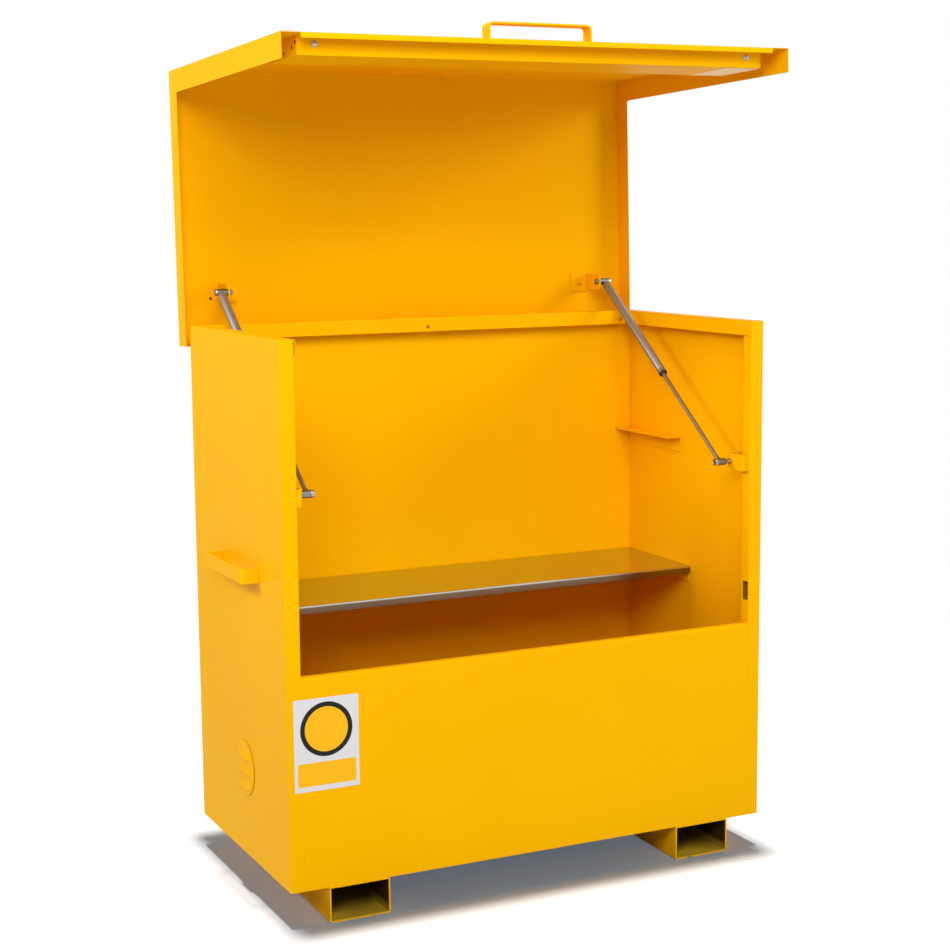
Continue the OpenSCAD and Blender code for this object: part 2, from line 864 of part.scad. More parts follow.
module right_lid_cheek() {
    lid_cheek(right);
}

// Box section across the drop panel that houses the lock
module lock_rail() {
    corners = [[panel_in, rail_z], [rail_in, rail_z], [rail_in, rail_z + rail_h],
        [panel_in, rail_z + rail_h]];
    color(yellow_paint) on_lid() difference() {
        union() {
            across(2 * rail_half) folded(corners, sheet, bend_r);
            for (side = [left, right])
                translate([side * (rail_half - sheet / 2), 0, 0]) across(sheet)
                    rounded(corners, [0, bend_r, bend_r, 0]);
        }
        bar_x(-half_w, half_w, bolt_d / 2 + fit, [bolt_y, bolt_z]);
        for (at = [[upper_hole_v, upper_hole_rise], [lower_hole_v, lower_hole_rise]])
            bar_x(-half_w, half_w, rail_hole_d / 2, [panel_in + at[0], rail_z + at[1]]);
    }
}

module lid_handle() {
    color(yellow_paint) on_lid()
        translate([0, lid_front, edge_z + lid_handle_v - strip_w / 2])
            linear_extrude(strip_w) handle_section();
}

// Bracket under the lid's top that carries an upper ball stud
module strut_lid_bracket(side) {
    under = lid_top - sheet;
    leg_foot = ball_closed[1] - lug_end;
    color(yellow_paint) on_lid() on_side(side)
        translate([-half_w + strut_inset + lug_x, ball_closed[0], 0]) difference() {
            union() {
                block([0, -lug_base_l / 2, under - lug_t], [lug_base_w, lug_base_l / 2, under]);
                translate([lug_t / 2, 0, 0]) across(lug_t)
                    rounded([[-lug_leg_l / 2, leg_foot], [lug_leg_l / 2, leg_foot],
                        [lug_leg_l / 2, under - lug_t], [-lug_leg_l / 2, under - lug_t]],
                        [lug_end, lug_end, 0, 0]);
            }
            bar_x(-cut, lug_t + cut, stud_d / 2 + fit, [0, ball_closed[1]]);
        }
}

module left_strut_lid_bracket() {
    strut_lid_bracket(left);
}

module right_strut_lid_bracket() {
    strut_lid_bracket(right);
}

// Nuts and washers that hold the lid brackets on studs welded to the lid
module lid_bracket_nuts() {
    under = lid_top - sheet - lug_t;
    x = -half_w + strut_inset + lug_x + lug_t + (lug_base_w - lug_t) / 2;
    color(zinc) on_lid() for (side = [left, right])
        on_side(side) translate([x, ball_closed[0], under - washer_t]) {
            cylinder(h = washer_t, r = washer_d / 2);
            translate([0, 0, -nut_h]) cylinder(h = nut_h, r = nut_d / 2, $fn = 6);
            translate([0, 0, -nut_h - thread_end]) cylinder(h = nut_h, r = stud_d / 2);
        }
}

// Plastic plugs on the spare fixing holes beside the lid brackets
module lid_hole_plugs() {
    color(black_plastic) on_lid() for (side = [left, right])
        on_side(side)
            translate([-half_w + strut_inset - stud_d / 2, ball_closed[0] + 2 * stud_d,
                lid_top - sheet - plug_t])
                cylinder(h = plug_t, r = plug_d / 2);
}

// Ball stud through a lid bracket, with its collar and nut
module upper_ball_stud(side) {
    color(zinc) on_lid() on_side(side) translate([-half_w + strut_inset, 0, 0]) {
        translate([0, ball_closed[0], ball_closed[1]]) ball(ball_d / 2);
        bar_x(0, lug_x + lug_t + nut_h + thread_end, stud_d / 2, ball_closed);
        bar_x(socket_w / 2 + side_gap, lug_x, nut_d / 2, ball_closed);
        nut_x(lug_x + lug_t, ball_closed);
    }
}

module left_upper_ball_stud() {
    upper_ball_stud(left);
}

module right_upper_ball_stud() {
    upper_ball_stud(right);
}

// Ring around the lock barrel on the outside of the drop panel
module lock_escutcheon() {
    color(zinc) on_lid() difference() {
        bar_y(lid_front - escutcheon_t, lid_front, escutcheon_d / 2, [0, bolt_z]);
        bar_y(lid_front - escutcheon_t - cut, lid_front + cut, barrel_d / 2 + fit, [0, bolt_z]);
    }
}

// Key barrel with its tail, cam and the two pins that draw the bolts
module lock_barrel() {
    face = lid_front - escutcheon_t - barrel_out;
    body_end = panel_in + barrel_d / 2;
    key_l = barrel_d / 3;
    pin_at = bolt_throw / 2;
    color(zinc) on_lid() difference() {
        union() {
            bar_y(face, body_end, barrel_d / 2, [0, bolt_z]);
            bar_y(body_end, cam_y, barrel_d / 3, [0, bolt_z]);
            bar_y(cam_y, cam_y + cam_t, cam_d / 2, [0, bolt_z]);
            for (i = [-1, 1])
                bar_y(cam_y + cam_t, bolt_y + yoke_t / 2, cam_pin_d / 2,
                    [i * pin_at, bolt_z + i * pin_at]);
        }
        block([-key_slot / 2, face - cut, bolt_z - key_l],
            [key_slot / 2, face + key_l, bolt_z + key_l]);
    }
}

// Lock bolt with its rod, cranked arm and slotted yoke
module lock_bolt(side) {
    slot_half = cam_pin_d / 2 + yoke_play;
    yoke_x = bolt_throw / 2;
    slot_low = yoke_x - slot_half;
    slot_high = cam_pin_r + slot_half;
    arm_h = bolt_d / 2 + 2 * cut;
    color(zinc) on_lid() on_side(side) translate([0, bolt_y, bolt_z]) {
        bar_x(-rail_half - bolt_tip, -rod_start, bolt_d / 2, [0, 0]);
        mirror([0, 0, side == right ? 1 : 0]) difference() {
            union() {
                block([-rod_start - bolt_d, -yoke_t / 2, cut],
                    [yoke_x - slot_half, yoke_t / 2, cut + arm_h]);
                block([yoke_x - slot_half - yoke_wall, -yoke_t / 2, cut],
                    [yoke_x + slot_half + yoke_wall, yoke_t / 2, slot_high + yoke_wall]);
            }
            block([yoke_x - slot_half, -yoke_t, slot_low], [yoke_x + slot_half, yoke_t, slot_high]);
        }
    }
}

module left_lock_bolt() {
    lock_bolt(left);
}

module right_lock_bolt() {
    lock_bolt(right);
}

// Guides inside the lock rail that keep the bolt rods straight
module bolt_guides() {
    color(zinc) on_lid() for (side = [left, right])
        on_side(side) translate([-guide_x, 0, 0]) difference() {
            block([-bolt_d / 4, bolt_y - bolt_d, bolt_z - bolt_d],
                [bolt_d / 4, rail_in - sheet, bolt_z + bolt_d]);
            bar_x(-bolt_d, bolt_d, bolt_d / 2 + fit, [bolt_y, bolt_z]);
        }
}

// Screws and washers on the lower face of the lock rail, one near each end
module rail_screws() {
    color(zinc) on_lid() for (side = [left, right])
        on_side(side) translate([-rail_half + rail_screw_x, panel_in + rail_screw_v, rail_z]) {
            translate([0, 0, -washer_t]) cylinder(h = washer_t, r = nut_d / 2);
            translate([0, 0, -washer_t - stud_d / 4])
                cylinder(h = stud_d / 4 + washer_t / 2, r = stud_d / 2);
        }
}

// Blank plate on the lock rail
module inner_plate() {
    mid_z = rail_z + rail_h / 2;
    color(white_card) on_lid()
        block([rail_half - cut - inner_plate_w, rail_in, mid_z - inner_plate_h / 2],
            [rail_half - cut, rail_in + inner_plate_t, mid_z + inner_plate_h / 2]);
}

// Puts a piece on a strut's own axis, Y running from the upper ball to the lower one
module on_strut(side) {
    in_place() on_side(side)
        translate([-half_w + strut_inset, ball_open[0], ball_open[1]])
            rotate([strut_tilt, 0, 0])
                children();
}

// Tube of a gas strut, closed at its upper end
module strut_tube(side) {
    color(silver_tube) on_strut(side) difference() {
        bar_y(neck_l, neck_l + tube_l, tube_d / 2, [0, 0]);
        bar_y(neck_l + tube_end, neck_l + tube_l + cut, tube_d / 2 - tube_wall, [0, 0]);
    }
}

module left_strut_tube() {
    strut_tube(left);
}

module right_strut_tube() {
    strut_tube(right);
}

// Black cap on a tube's mouth, with the bush that guides the rod
module strut_cap(side) {
    mouth = neck_l + tube_l;
    color(black_plastic) on_strut(side) difference() {
        union() {
            bar_y(mouth, mouth + cap_l, tube_d / 2, [0, 0]);
            bar_y(mouth - bush_l, mouth + cut, tube_d / 2 - tube_wall - fit, [0, 0]);
        }
        bar_y(mouth - bush_l - cut, mouth + cap_l + cut, rod_d / 2 + fit, [0, 0]);
    }
}

module left_strut_cap() {
    strut_cap(left);
}

module right_strut_cap() {
    strut_cap(right);
}

// Socket around a ball at the origin, its neck along Y and its stud along X
module ball_socket(neck_way, stud_way) {
    difference() {
        union() {
            bar_x(-socket_w / 2, socket_w / 2, socket_d / 2, [0, 0]);
            rotate([-90 * neck_way, 0, 0]) cylinder(h = neck_l, r = neck_d / 2);
        }
        ball(ball_d / 2 + fit);
        rotate([0, 90 * stud_way, 0]) cylinder(h = socket_w, r = stud_d / 2 + side_gap);
    }
}

module left_upper_socket() {
    color(dark_steel) on_strut(left) ball_socket(1, 1);
}

module right_upper_socket() {
    color(dark_steel) on_strut(right) ball_socket(1, 1);
}

module left_lower_socket() {
    color(dark_steel) on_strut(left) translate([0, strut_open, 0]) ball_socket(-1, -1);
}

module right_lower_socket() {
    color(dark_steel) on_strut(right) translate([0, strut_open, 0]) ball_socket(-1, -1);
}

// Rod of a gas strut with its piston
module strut_rod(side) {
    inner = neck_l + tube_l + cap_l - rod_hold;
    color(silver_tube) on_strut(side) {
        bar_y(inner, strut_open - neck_l, rod_d / 2, [0, 0]);
        bar_y(inner, inner + piston_l, tube_d / 2 - tube_wall - fit, [0, 0]);
    }
}

module left_strut_rod() {
    strut_rod(left);
}

module right_strut_rod() {
    strut_rod(right);
}

// Lower ball stud, which stands just clear of its strut foot
module lower_ball_stud(side) {
    reach = strut_inset - foot_face - side_gap;
    color(zinc) on_strut(side) translate([0, strut_open, 0]) {
        ball(ball_d / 2);
        bar_x(-reach, 0, stud_d / 2, [0, 0]);
        nut_x(-reach, [0, 0]);
    }
}

module left_lower_ball_stud() {
    lower_ball_stud(left);
}

module right_lower_ball_stud() {
    lower_ball_stud(right);
}

left_side_panel();
right_side_panel();
back_panel();
front_panel();
floor_plate();
strike_pockets();
left_skid();
right_skid();
left_vent_cover();
right_vent_cover();
left_vent_gauze();
right_vent_gauze();
shelf();
lower_left_shelf_bracket();
lower_right_shelf_bracket();
upper_left_shelf_bracket();
upper_right_shelf_bracket();
left_side_handle();
right_side_handle();
left_hinge_body_leaf();
middle_hinge_body_leaf();
right_hinge_body_leaf();
hinge_pins();
left_strut_foot();
right_strut_foot();
strut_foot_nuts();
placard();
lid_wrap();
left_lid_cheek();
right_lid_cheek();
lock_rail();
lid_handle();
left_hinge_lid_leaf();
middle_hinge_lid_leaf();
right_hinge_lid_leaf();
left_strut_lid_bracket();
right_strut_lid_bracket();
lid_bracket_nuts();
lid_hole_plugs();
left_upper_ball_stud();
right_upper_ball_stud();
lock_escutcheon();
lock_barrel();
left_lock_bolt();
right_lock_bolt();
bolt_guides();
rail_screws();
inner_plate();
left_strut_tube();
right_strut_tube();
left_strut_cap();
right_strut_cap();
left_upper_socket();
right_upper_socket();
left_strut_rod();
right_strut_rod();
left_lower_socket();
right_lower_socket();
left_lower_ball_stud();
right_lower_ball_stud();
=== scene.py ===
"""Looks of a chemical storage chest, standing open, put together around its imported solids."""

import json
import math

import bmesh
import bpy
from mathutils import Matrix, Vector


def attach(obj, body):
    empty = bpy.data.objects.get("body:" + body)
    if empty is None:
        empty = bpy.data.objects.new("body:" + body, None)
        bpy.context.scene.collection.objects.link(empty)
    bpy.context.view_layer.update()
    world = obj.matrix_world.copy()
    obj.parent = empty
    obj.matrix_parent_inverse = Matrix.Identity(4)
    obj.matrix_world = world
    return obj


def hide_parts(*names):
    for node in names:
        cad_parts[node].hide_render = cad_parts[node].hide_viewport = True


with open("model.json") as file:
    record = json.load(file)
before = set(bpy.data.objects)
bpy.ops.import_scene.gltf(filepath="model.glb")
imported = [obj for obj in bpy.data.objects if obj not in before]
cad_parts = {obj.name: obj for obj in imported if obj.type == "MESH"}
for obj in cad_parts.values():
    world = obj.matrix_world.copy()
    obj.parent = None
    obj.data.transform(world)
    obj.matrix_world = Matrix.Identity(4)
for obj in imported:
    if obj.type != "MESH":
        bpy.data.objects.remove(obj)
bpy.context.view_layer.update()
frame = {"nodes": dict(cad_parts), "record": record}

# Camera
# It stands at the chest's left front, 4.6 m away and 0.3 m above the hinges, as in the photograph.
# The turn, tilt, lens and shift come from the chest's corners in the photograph.
eye = Vector((-1.998931, -4.112084, 1.607636))
yaw = math.radians(25.292)
pitch = math.radians(8.021)
roll = math.radians(0.560)
ahead = Vector((math.sin(yaw) * math.cos(pitch), math.cos(yaw) * math.cos(pitch), -math.sin(pitch)))
level = Vector((math.cos(yaw), -math.sin(yaw), 0))
below = ahead.cross(level)
across = math.cos(roll) * level + math.sin(roll) * below
down = math.cos(roll) * below - math.sin(roll) * level
lens = bpy.data.cameras.new("photo_lens")
lens.sensor_width = 36
lens.lens = 70.213
lens.shift_x = 0.02058
lens.shift_y = -0.00276
camera = bpy.data.objects.new("photo_camera", lens)
camera.matrix_world = Matrix((
    (across.x, -down.x, -ahead.x, eye.x),
    (across.y, -down.y, -ahead.y, eye.y),
    (across.z, -down.z, -ahead.z, eye.z),
    (0, 0, 0, 1),
))
bpy.context.scene.collection.objects.link(camera)
bpy.context.scene.camera = camera

# Fork skids
# Two open-ended box sections of 4 mm steel, welded under the floor for the forks of a truck.
# They are painted with the body and scuffed where they rest; inside, the coat is darkened as
# painted shade, grimy mottled and nearly black towards the top.
body_of = {}
for body_name, body_nodes in frame["record"]["behaviour"]["bodies"].items():
    for node_name in body_nodes:
        body_of[node_name] = body_name


def mix_finish(name, **sockets):
    """Starts a material and sets what is the same all over it"""
    finish = bpy.data.materials.new(name)
    finish.use_nodes = True
    shader = finish.node_tree.nodes["Principled BSDF"]
    for socket, value in sockets.items():
        shader.inputs[socket.replace("_", " ")].default_value = value
    return finish, shader


def add(finish, kind, inputs, output=0, **settings):
    """Adds a shader node, links or sets its inputs and returns one of its outputs"""
    node = finish.node_tree.nodes.new("ShaderNode" + kind)
    for setting, value in settings.items():
        setattr(node, setting, value)
    for socket, value in inputs.items():
        if isinstance(value, bpy.types.NodeSocket):
            finish.node_tree.links.new(value, node.inputs[socket])
        else:
            node.inputs[socket].default_value = value
    return node.outputs[output]


def spots(finish, place, scale, low, high, detail=3.0, roughness=0.55):
    """Noise cut between two levels, from 0 to 1"""
    cloud = add(finish, "TexNoise", {"Vector": place, "Scale": scale, "Detail": detail,
                                     "Roughness": roughness})
    return add(finish, "MapRange", {0: cloud, 1: low, 2: high})


def join(finish, shader, socket, value):
    """Links a node's output to one of the shader's sockets"""
    finish.node_tree.links.new(value, shader.inputs[socket])


pocket_x = 0.462
pocket_z = 0.0425
pocket_half_width = 0.0714
pocket_half_height = 0.0389


def powder_paint(name, skid=False, shade_factor=1.0):
    """Gloss yellow powder paint on sheet steel: orange peel, slow waves of the sheet, and edges
    lightened as thin paint and as painted highlight
    """
    finish, shader = mix_finish(name, Specular_IOR_Level=0.03,
                                Specular_Tint=(1.0, 0.80, 0.25, 1))
    place = add(finish, "TexCoord", {}, "Object")
    rounded = add(finish, "Bevel", {"Radius": 0.0014}, samples=4)
    sheet_wave = add(finish, "TexNoise", {"Vector": place, "Scale": 3.1, "Detail": 1.0})
    peel = add(finish, "TexNoise", {"Vector": place, "Scale": 420.0, "Detail": 1.0})
    waved = add(finish, "Bump", {"Height": sheet_wave, "Distance": 0.0035, "Normal": rounded})
    peeled = add(finish, "Bump", {"Height": peel, "Distance": 0.00005, "Normal": waved})
    join(finish, shader, "Normal", peeled)
    tone = spots(finish, place, 1.6, 0.35, 0.65, 2.0)
    # A factor below 1 darkens the yellow as painted shade.
    yellow = add(finish, "Mix", {0: tone, 6: (0.93 * shade_factor, 0.464 * shade_factor, 0.0012, 1),
                                 7: (0.95 * shade_factor, 0.486 * shade_factor, 0.0018, 1)}, 2, data_type="RGBA")
    # Edges are lightened, partly as thin paint and partly as painted highlight along the folds.
    face = add(finish, "NewGeometry", {}, "Normal")
    turned = add(finish, "VectorMath", {0: rounded, 1: face}, "Value", operation="DOT_PRODUCT")
    near_edge = add(finish, "MapRange", {0: turned, 1: 0.995, 2: 0.90})
    rub = spots(finish, place, 38.0, 0.42, 0.66, 5.0)
    wear_and_highlight = add(finish, "Math", {0: near_edge, 1: rub}, operation="MULTIPLY")
    thin_paint_and_highlight = add(finish, "Math", {0: wear_and_highlight, 1: 0.45}, operation="MULTIPLY")
    edge_lightened = add(finish, "Mix", {0: thin_paint_and_highlight, 6: yellow, 7: (0.97, 0.60, 0.03, 1)}, 2, data_type="RGBA")
    dust = spots(finish, place, 14.0, 0.60, 0.80, 8.0, 0.7)
    film = add(finish, "Math", {0: dust, 1: 0.10}, operation="MULTIPLY")
    dusty = add(finish, "Mix", {0: film, 6: edge_lightened, 7: (0.80, 0.42, 0.03, 1)}, 2, data_type="RGBA")
    if skid:
        across = add(finish, "SeparateXYZ", {0: place}, "X")
        height = add(finish, "SeparateXYZ", {0: place}, "Z")
        low_down = add(finish, "MapRange", {0: height, 1: 0.006, 2: 0.0005})
        scrape = spots(finish, place, 45.0, 0.56, 0.64, 6.0, 0.7)
        bared = add(finish, "Math", {0: low_down, 1: scrape}, operation="MULTIPLY")
        dusty = add(finish, "Mix", {0: bared, 6: dusty, 7: (0.16, 0.13, 0.09, 1)}, 2,
                    data_type="RGBA")
        # Painted shade inside the fork pockets: a darkened coat mottled by grime, nearly black
        # higher up the walls.
        outward = add(finish, "Math", {0: across}, operation="ABSOLUTE")
        off_middle = add(finish, "Math", {0: outward, 1: pocket_x}, operation="SUBTRACT")
        between = add(finish, "Math", {0: off_middle, 1: 0.0, 2: pocket_half_width},
                      operation="COMPARE")
        within = add(finish, "Math", {0: height, 1: pocket_z, 2: pocket_half_height},
                     operation="COMPARE")
        inside = add(finish, "Math", {0: between, 1: within}, operation="MULTIPLY")
        grime = spots(finish, place, 9.0, 0.3, 0.7, 6.0)
        shaded_coat_inside = add(finish, "Mix", {0: grime, 6: (0.42, 0.26, 0.016, 1),
                                        7: (0.28, 0.17, 0.016, 1)}, 2, data_type="RGBA")
        shade_up_wall = add(finish, "MapRange", {0: height, 1: 0.010, 2: 0.024})
        painted_shade_lining = add(finish, "Mix", {0: shade_up_wall, 6: shaded_coat_inside, 7: (0.05, 0.025, 0.005, 1)}, 2,
                     data_type="RGBA")
        dusty = add(finish, "Mix", {0: inside, 6: dusty, 7: painted_shade_lining}, 2, data_type="RGBA")
    gloss = spots(finish, place, 22.0, 0.3, 0.8, 4.0)
    sheen = add(finish, "MapRange", {0: gloss, 3: 0.42, 4: 0.52})
    join(finish, shader, "Base Color", dusty)
    join(finish, shader, "Roughness", sheen)
    return finish


paint = powder_paint("yellow_powder_paint")
skid_paint = powder_paint("skid_paint", skid=True)


def shade_by_angle(mesh, degrees=32):
    """Curved faces shade smoothly and cut edges stay crisp"""
    for face in mesh.faces:
        face.smooth = True
    for edge in mesh.edges:
        edge.smooth = edge.calc_face_angle(math.pi) < math.radians(degrees)


def put_on(mesh, name, finish, body, stands_for=(), weighted=False):
    """Turns a mesh into a piece of the chest that rides on one of its bodies"""
    shade_by_angle(mesh)
    data = bpy.data.meshes.new(name)
    mesh.to_mesh(data)
    mesh.free()
    data.materials.append(finish)
    piece = bpy.data.objects.new(name, data)
    bpy.context.scene.collection.objects.link(piece)
    if weighted:
        normals = piece.modifiers.new("flat_faces", "WEIGHTED_NORMAL")
        normals.weight = 100
        normals.keep_sharp = True
    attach(piece, body)
    if stands_for:
        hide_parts(*stands_for)


def dress(node, finish, edge=0.0):
    """Takes a merged copy of a node, breaks its sharp edges by some millimetres and finishes it"""
    mesh = bmesh.new()
    mesh.from_mesh(frame["nodes"][node].data)
    bmesh.ops.remove_doubles(mesh, verts=mesh.verts, dist=0.000002)
    if edge:
        bmesh.ops.dissolve_limit(mesh, angle_limit=math.radians(1), verts=mesh.verts,
                                 edges=mesh.edges)
        sharp = [e for e in mesh.edges if e.calc_face_angle(0) > math.radians(40)]
        bmesh.ops.bevel(mesh, geom=sharp, offset=edge / 1000, offset_type="OFFSET", segments=2,
                        profile=0.5, affect="EDGES", clamp_overlap=True, material=-1)
    put_on(mesh, node + "_finished", finish, body_of[node], [node], weighted=True)


for side in ("left", "right"):
    dress(side + "_skid", skid_paint)

# Body panels
# Floor, sides, back and front of 1.5 mm steel sheet, folded on a press brake and welded into a box.
# The side panels carry the front stiles, and a small box behind each bolt slot catches the bolt.
for panel in ("floor_plate", "left_side_panel", "right_side_panel", "back_panel", "front_panel"):
    dress(panel, paint)
# The pockets' paint is darkened to a third as painted shade inside the boxes.
dress("strike_pockets", powder_paint("thin_paint_in_pockets", shade_factor=0.32))

# Welds
# Rippled beads of filler where the skids meet the floor, where stile and front panel join, and
# down the rear corners, laid by hand, ground a little and painted over. From here on, pieces are
# drawn in millimetres, with y from the body's front, and on_chest takes them to the shared frame.
middle_y = 326.1246
on_chest = Matrix.Translation((0, -middle_y / 1000, 0)) @ Matrix.Scale(0.001, 4)
floor_z = 85
stile_seam_x = 595
corner_seam = (628, 638)


def place_all(mesh, place):
    """Moves all of a mesh to its place on the chest and turns its faces outward"""
    bmesh.ops.transform(mesh, matrix=place, verts=mesh.verts)
    bmesh.ops.recalc_face_normals(mesh, faces=mesh.faces)


def lay_bead(mesh, start, end, size):
    """Rippled weld bead along a straight joint"""
    start = Vector(start)
    run = Vector(end) - start
    steps = max(4, round(run.length / (size * 0.45)))
    turn = run.to_track_quat("Z", "Y").to_matrix().to_4x4()
    ring = bmesh.ops.create_circle(mesh, cap_ends=True, segments=8, radius=size * 0.3,
                                   matrix=Matrix.Translation(start) @ turn)
    front = [ring["verts"][0].link_faces[0]]
    for step in range(1, steps + 1):
        grown = bmesh.ops.extrude_face_region(mesh, geom=front, use_keep_orig=step == 1)
        verts = [v for v in grown["geom"] if isinstance(v, bmesh.types.BMVert)]
        front = [f for f in grown["geom"] if isinstance(f, bmesh.types.BMFace)]
        bmesh.ops.translate(mesh, verts=verts, vec=run / steps)
        centre = start + run * step / steps
        ripple = 0.3 if step == steps else (0.5 if step % 2 else 0.43)
        radius = (verts[0].co - centre).length
        bmesh.ops.scale(mesh, verts=verts, vec=[size * ripple / radius] * 3,
                        space=Matrix.Translation(-centre))


welds = bmesh.new()
for x in (-537, -387, 387, 537):
    for y in (40, 290, 540):
        lay_bead(welds, (x, y, floor_z), (x, y + 60, floor_z), 6)
for x in (-stile_seam_x, stile_seam_x):
    for z in (120, 240, 360, 480):
        lay_bead(welds, (x, 1.5, z), (x, 1.5, z + 25), 3.5)
for way in (-1, 1):
    x, y = way * corner_seam[0], corner_seam[1]
    for z in (140, 420, 700, 980, 1240):
        lay_bead(welds, (x, y, z), (x, y, z + 30), 4)
place_all(welds, on_chest)
put_on(welds, "body_welds", paint, "chest")

# Vents
# A round cover of 1.2 mm steel pressed with three hooded louvres, spot welded over a hole in each
# side. A disc of woven wire behind it keeps sparks and insects out.
vent_y = 300
vent_z = 299
side_outside = 630
side_inside = 628
louvre_rows = (-37, 0, 37)
louvre_half_length = 40
louvre_depth = 24
louvre_rise = 6.0


def new_since(mesh, before):
    """Vertices that a mesh has gained"""
    return [v for v in mesh.verts if v not in before]


def turn_profile(mesh, profile, place=Matrix(), steps=40):
    """Spins a profile of radius and height once around the local Z axis"""
    before = set(mesh.verts)
    points = [mesh.verts.new((radius, 0, height)) for radius, height in profile]
    edges = [mesh.edges.new(pair) for pair in zip(points, points[1:])]
    bmesh.ops.spin(mesh, geom=points + edges, cent=(0, 0, 0), axis=(0, 0, 1),
                   angle=math.tau, steps=steps, use_merge=True)
    made = new_since(mesh, before)
    bmesh.ops.remove_doubles(mesh, verts=made, dist=0.0005)
    bmesh.ops.transform(mesh, matrix=place, verts=new_since(mesh, before))


def press_vent():
    """Vent cover in millimetres, its face along +Z and its louvres' mouths toward -Y"""
    shade_factor = bmesh.new()
    turn_profile(shade_factor, [(0, 3), (63, 3), (65.6, 2.8), (67, 2.4), (67.5, 1.9), (67.3, 1.4),
                         (66.4, 1.3), (64.6, 1.3), (64, 1), (64, 0), (62.6, 0), (62.6, 1.2),
                         (62, 1.8), (0, 1.8)],
                 steps=72)
    for row in louvre_rows:
        rim = row - 10
        hood = bmesh.ops.create_grid(shade_factor, x_segments=38, y_segments=10, size=1)["verts"]
        bmesh.ops.scale(shade_factor, verts=hood, vec=(louvre_half_length, louvre_depth / 2, 1))
        bmesh.ops.translate(shade_factor, verts=hood, vec=(0, rim + louvre_depth / 2, 0))
        for vert in hood:
            ends = min(1, (louvre_half_length - abs(vert.co.x)) / 11)
            ends = ends * ends * (3 - 2 * ends)
            rise = 0.5 + 0.5 * math.cos(math.pi * (vert.co.y - rim) / louvre_depth)
            vert.co.z = 2.95 + louvre_rise * ends * rise
        sheet = list({f for v in hood for f in v.link_faces})
        bmesh.ops.solidify(shade_factor, geom=sheet, thickness=1.0)
    return shade_factor


for side, way in (("left", -1), ("right", 1)):
    shade_factor = press_vent()
    upright = Matrix(((0, 0, way, way * side_outside), (way, 0, 0, vent_y), (0, 1, 0, vent_z),
                      (0, 0, 0, 1)))
    place_all(shade_factor, on_chest @ upright)
    put_on(shade_factor, side + "_pressed_vent", paint, "chest", [side + "_vent_cover"])


def dark_wire(name):
    """Phosphated steel wire, nearly black, with a paler bloom"""
    finish, shader = mix_finish(name, Metallic=0.7, Specular_IOR_Level=0.4)
    place = add(finish, "TexCoord", {}, "Object")
    bloom = spots(finish, place, 120.0, 0.35, 0.75, 4.0)
    color = add(finish, "Mix", {0: bloom, 6: (0.028, 0.028, 0.031, 1), 7: (0.085, 0.083, 0.08, 1)},
                2, data_type="RGBA")
    rough = add(finish, "MapRange", {0: bloom, 3: 0.34, 4: 0.55})
    join(finish, shader, "Base Color", color)
    join(finish, shader, "Roughness", rough)
    return finish


dark_steel = dark_wire("dark_phosphated_steel")
gauze_radius = 66.5
wire_spacing = 3.1
wire_radius = 0.27
for side, way in (("left", -1), ("right", 1)):
    gauze = bmesh.new()
    for step in range(-21, 22):
        reach = math.sqrt(gauze_radius ** 2 - (step * wire_spacing) ** 2)
        for turn in (0, 1):
            wire = bmesh.ops.create_cone(gauze, cap_ends=True, segments=5, radius1=wire_radius,
                                         radius2=wire_radius, depth=2 * reach)["verts"]
            flat = Matrix.Translation((step * wire_spacing, 0, 0.24 - 0.48 * turn))
            flat = flat @ Matrix.Rotation(math.pi / 2, 4, "X")
            bmesh.ops.transform(gauze, verts=wire,
                                matrix=Matrix.Rotation(turn * math.pi / 2, 4, "Z") @ flat)
    turn_profile(gauze, [(66.3, -0.5), (67.5, -0.5), (67.5, 0.5), (66.3, 0.5), (66.3, -0.5)],
                 steps=60)
    against = Matrix(((0, 0, way, way * side_inside), (way, 0, 0, vent_y), (0, 1, 0, vent_z),
                      (0, 0, 0, 1)))
    place_all(gauze, on_chest @ against)
    put_on(gauze, side + "_wire_gauze", dark_steel, "chest", [side + "_vent_gauze"])

# Shelf and brackets
# A half-depth shelf of galvanised sheet with lips turned down, lying on two welded angles.
# Two more angles higher up wait for a second shelf.
shelf_front = -0.0049
shelf_top = 0.6655
bracket_corners = ((665, 330), (1007, 385))


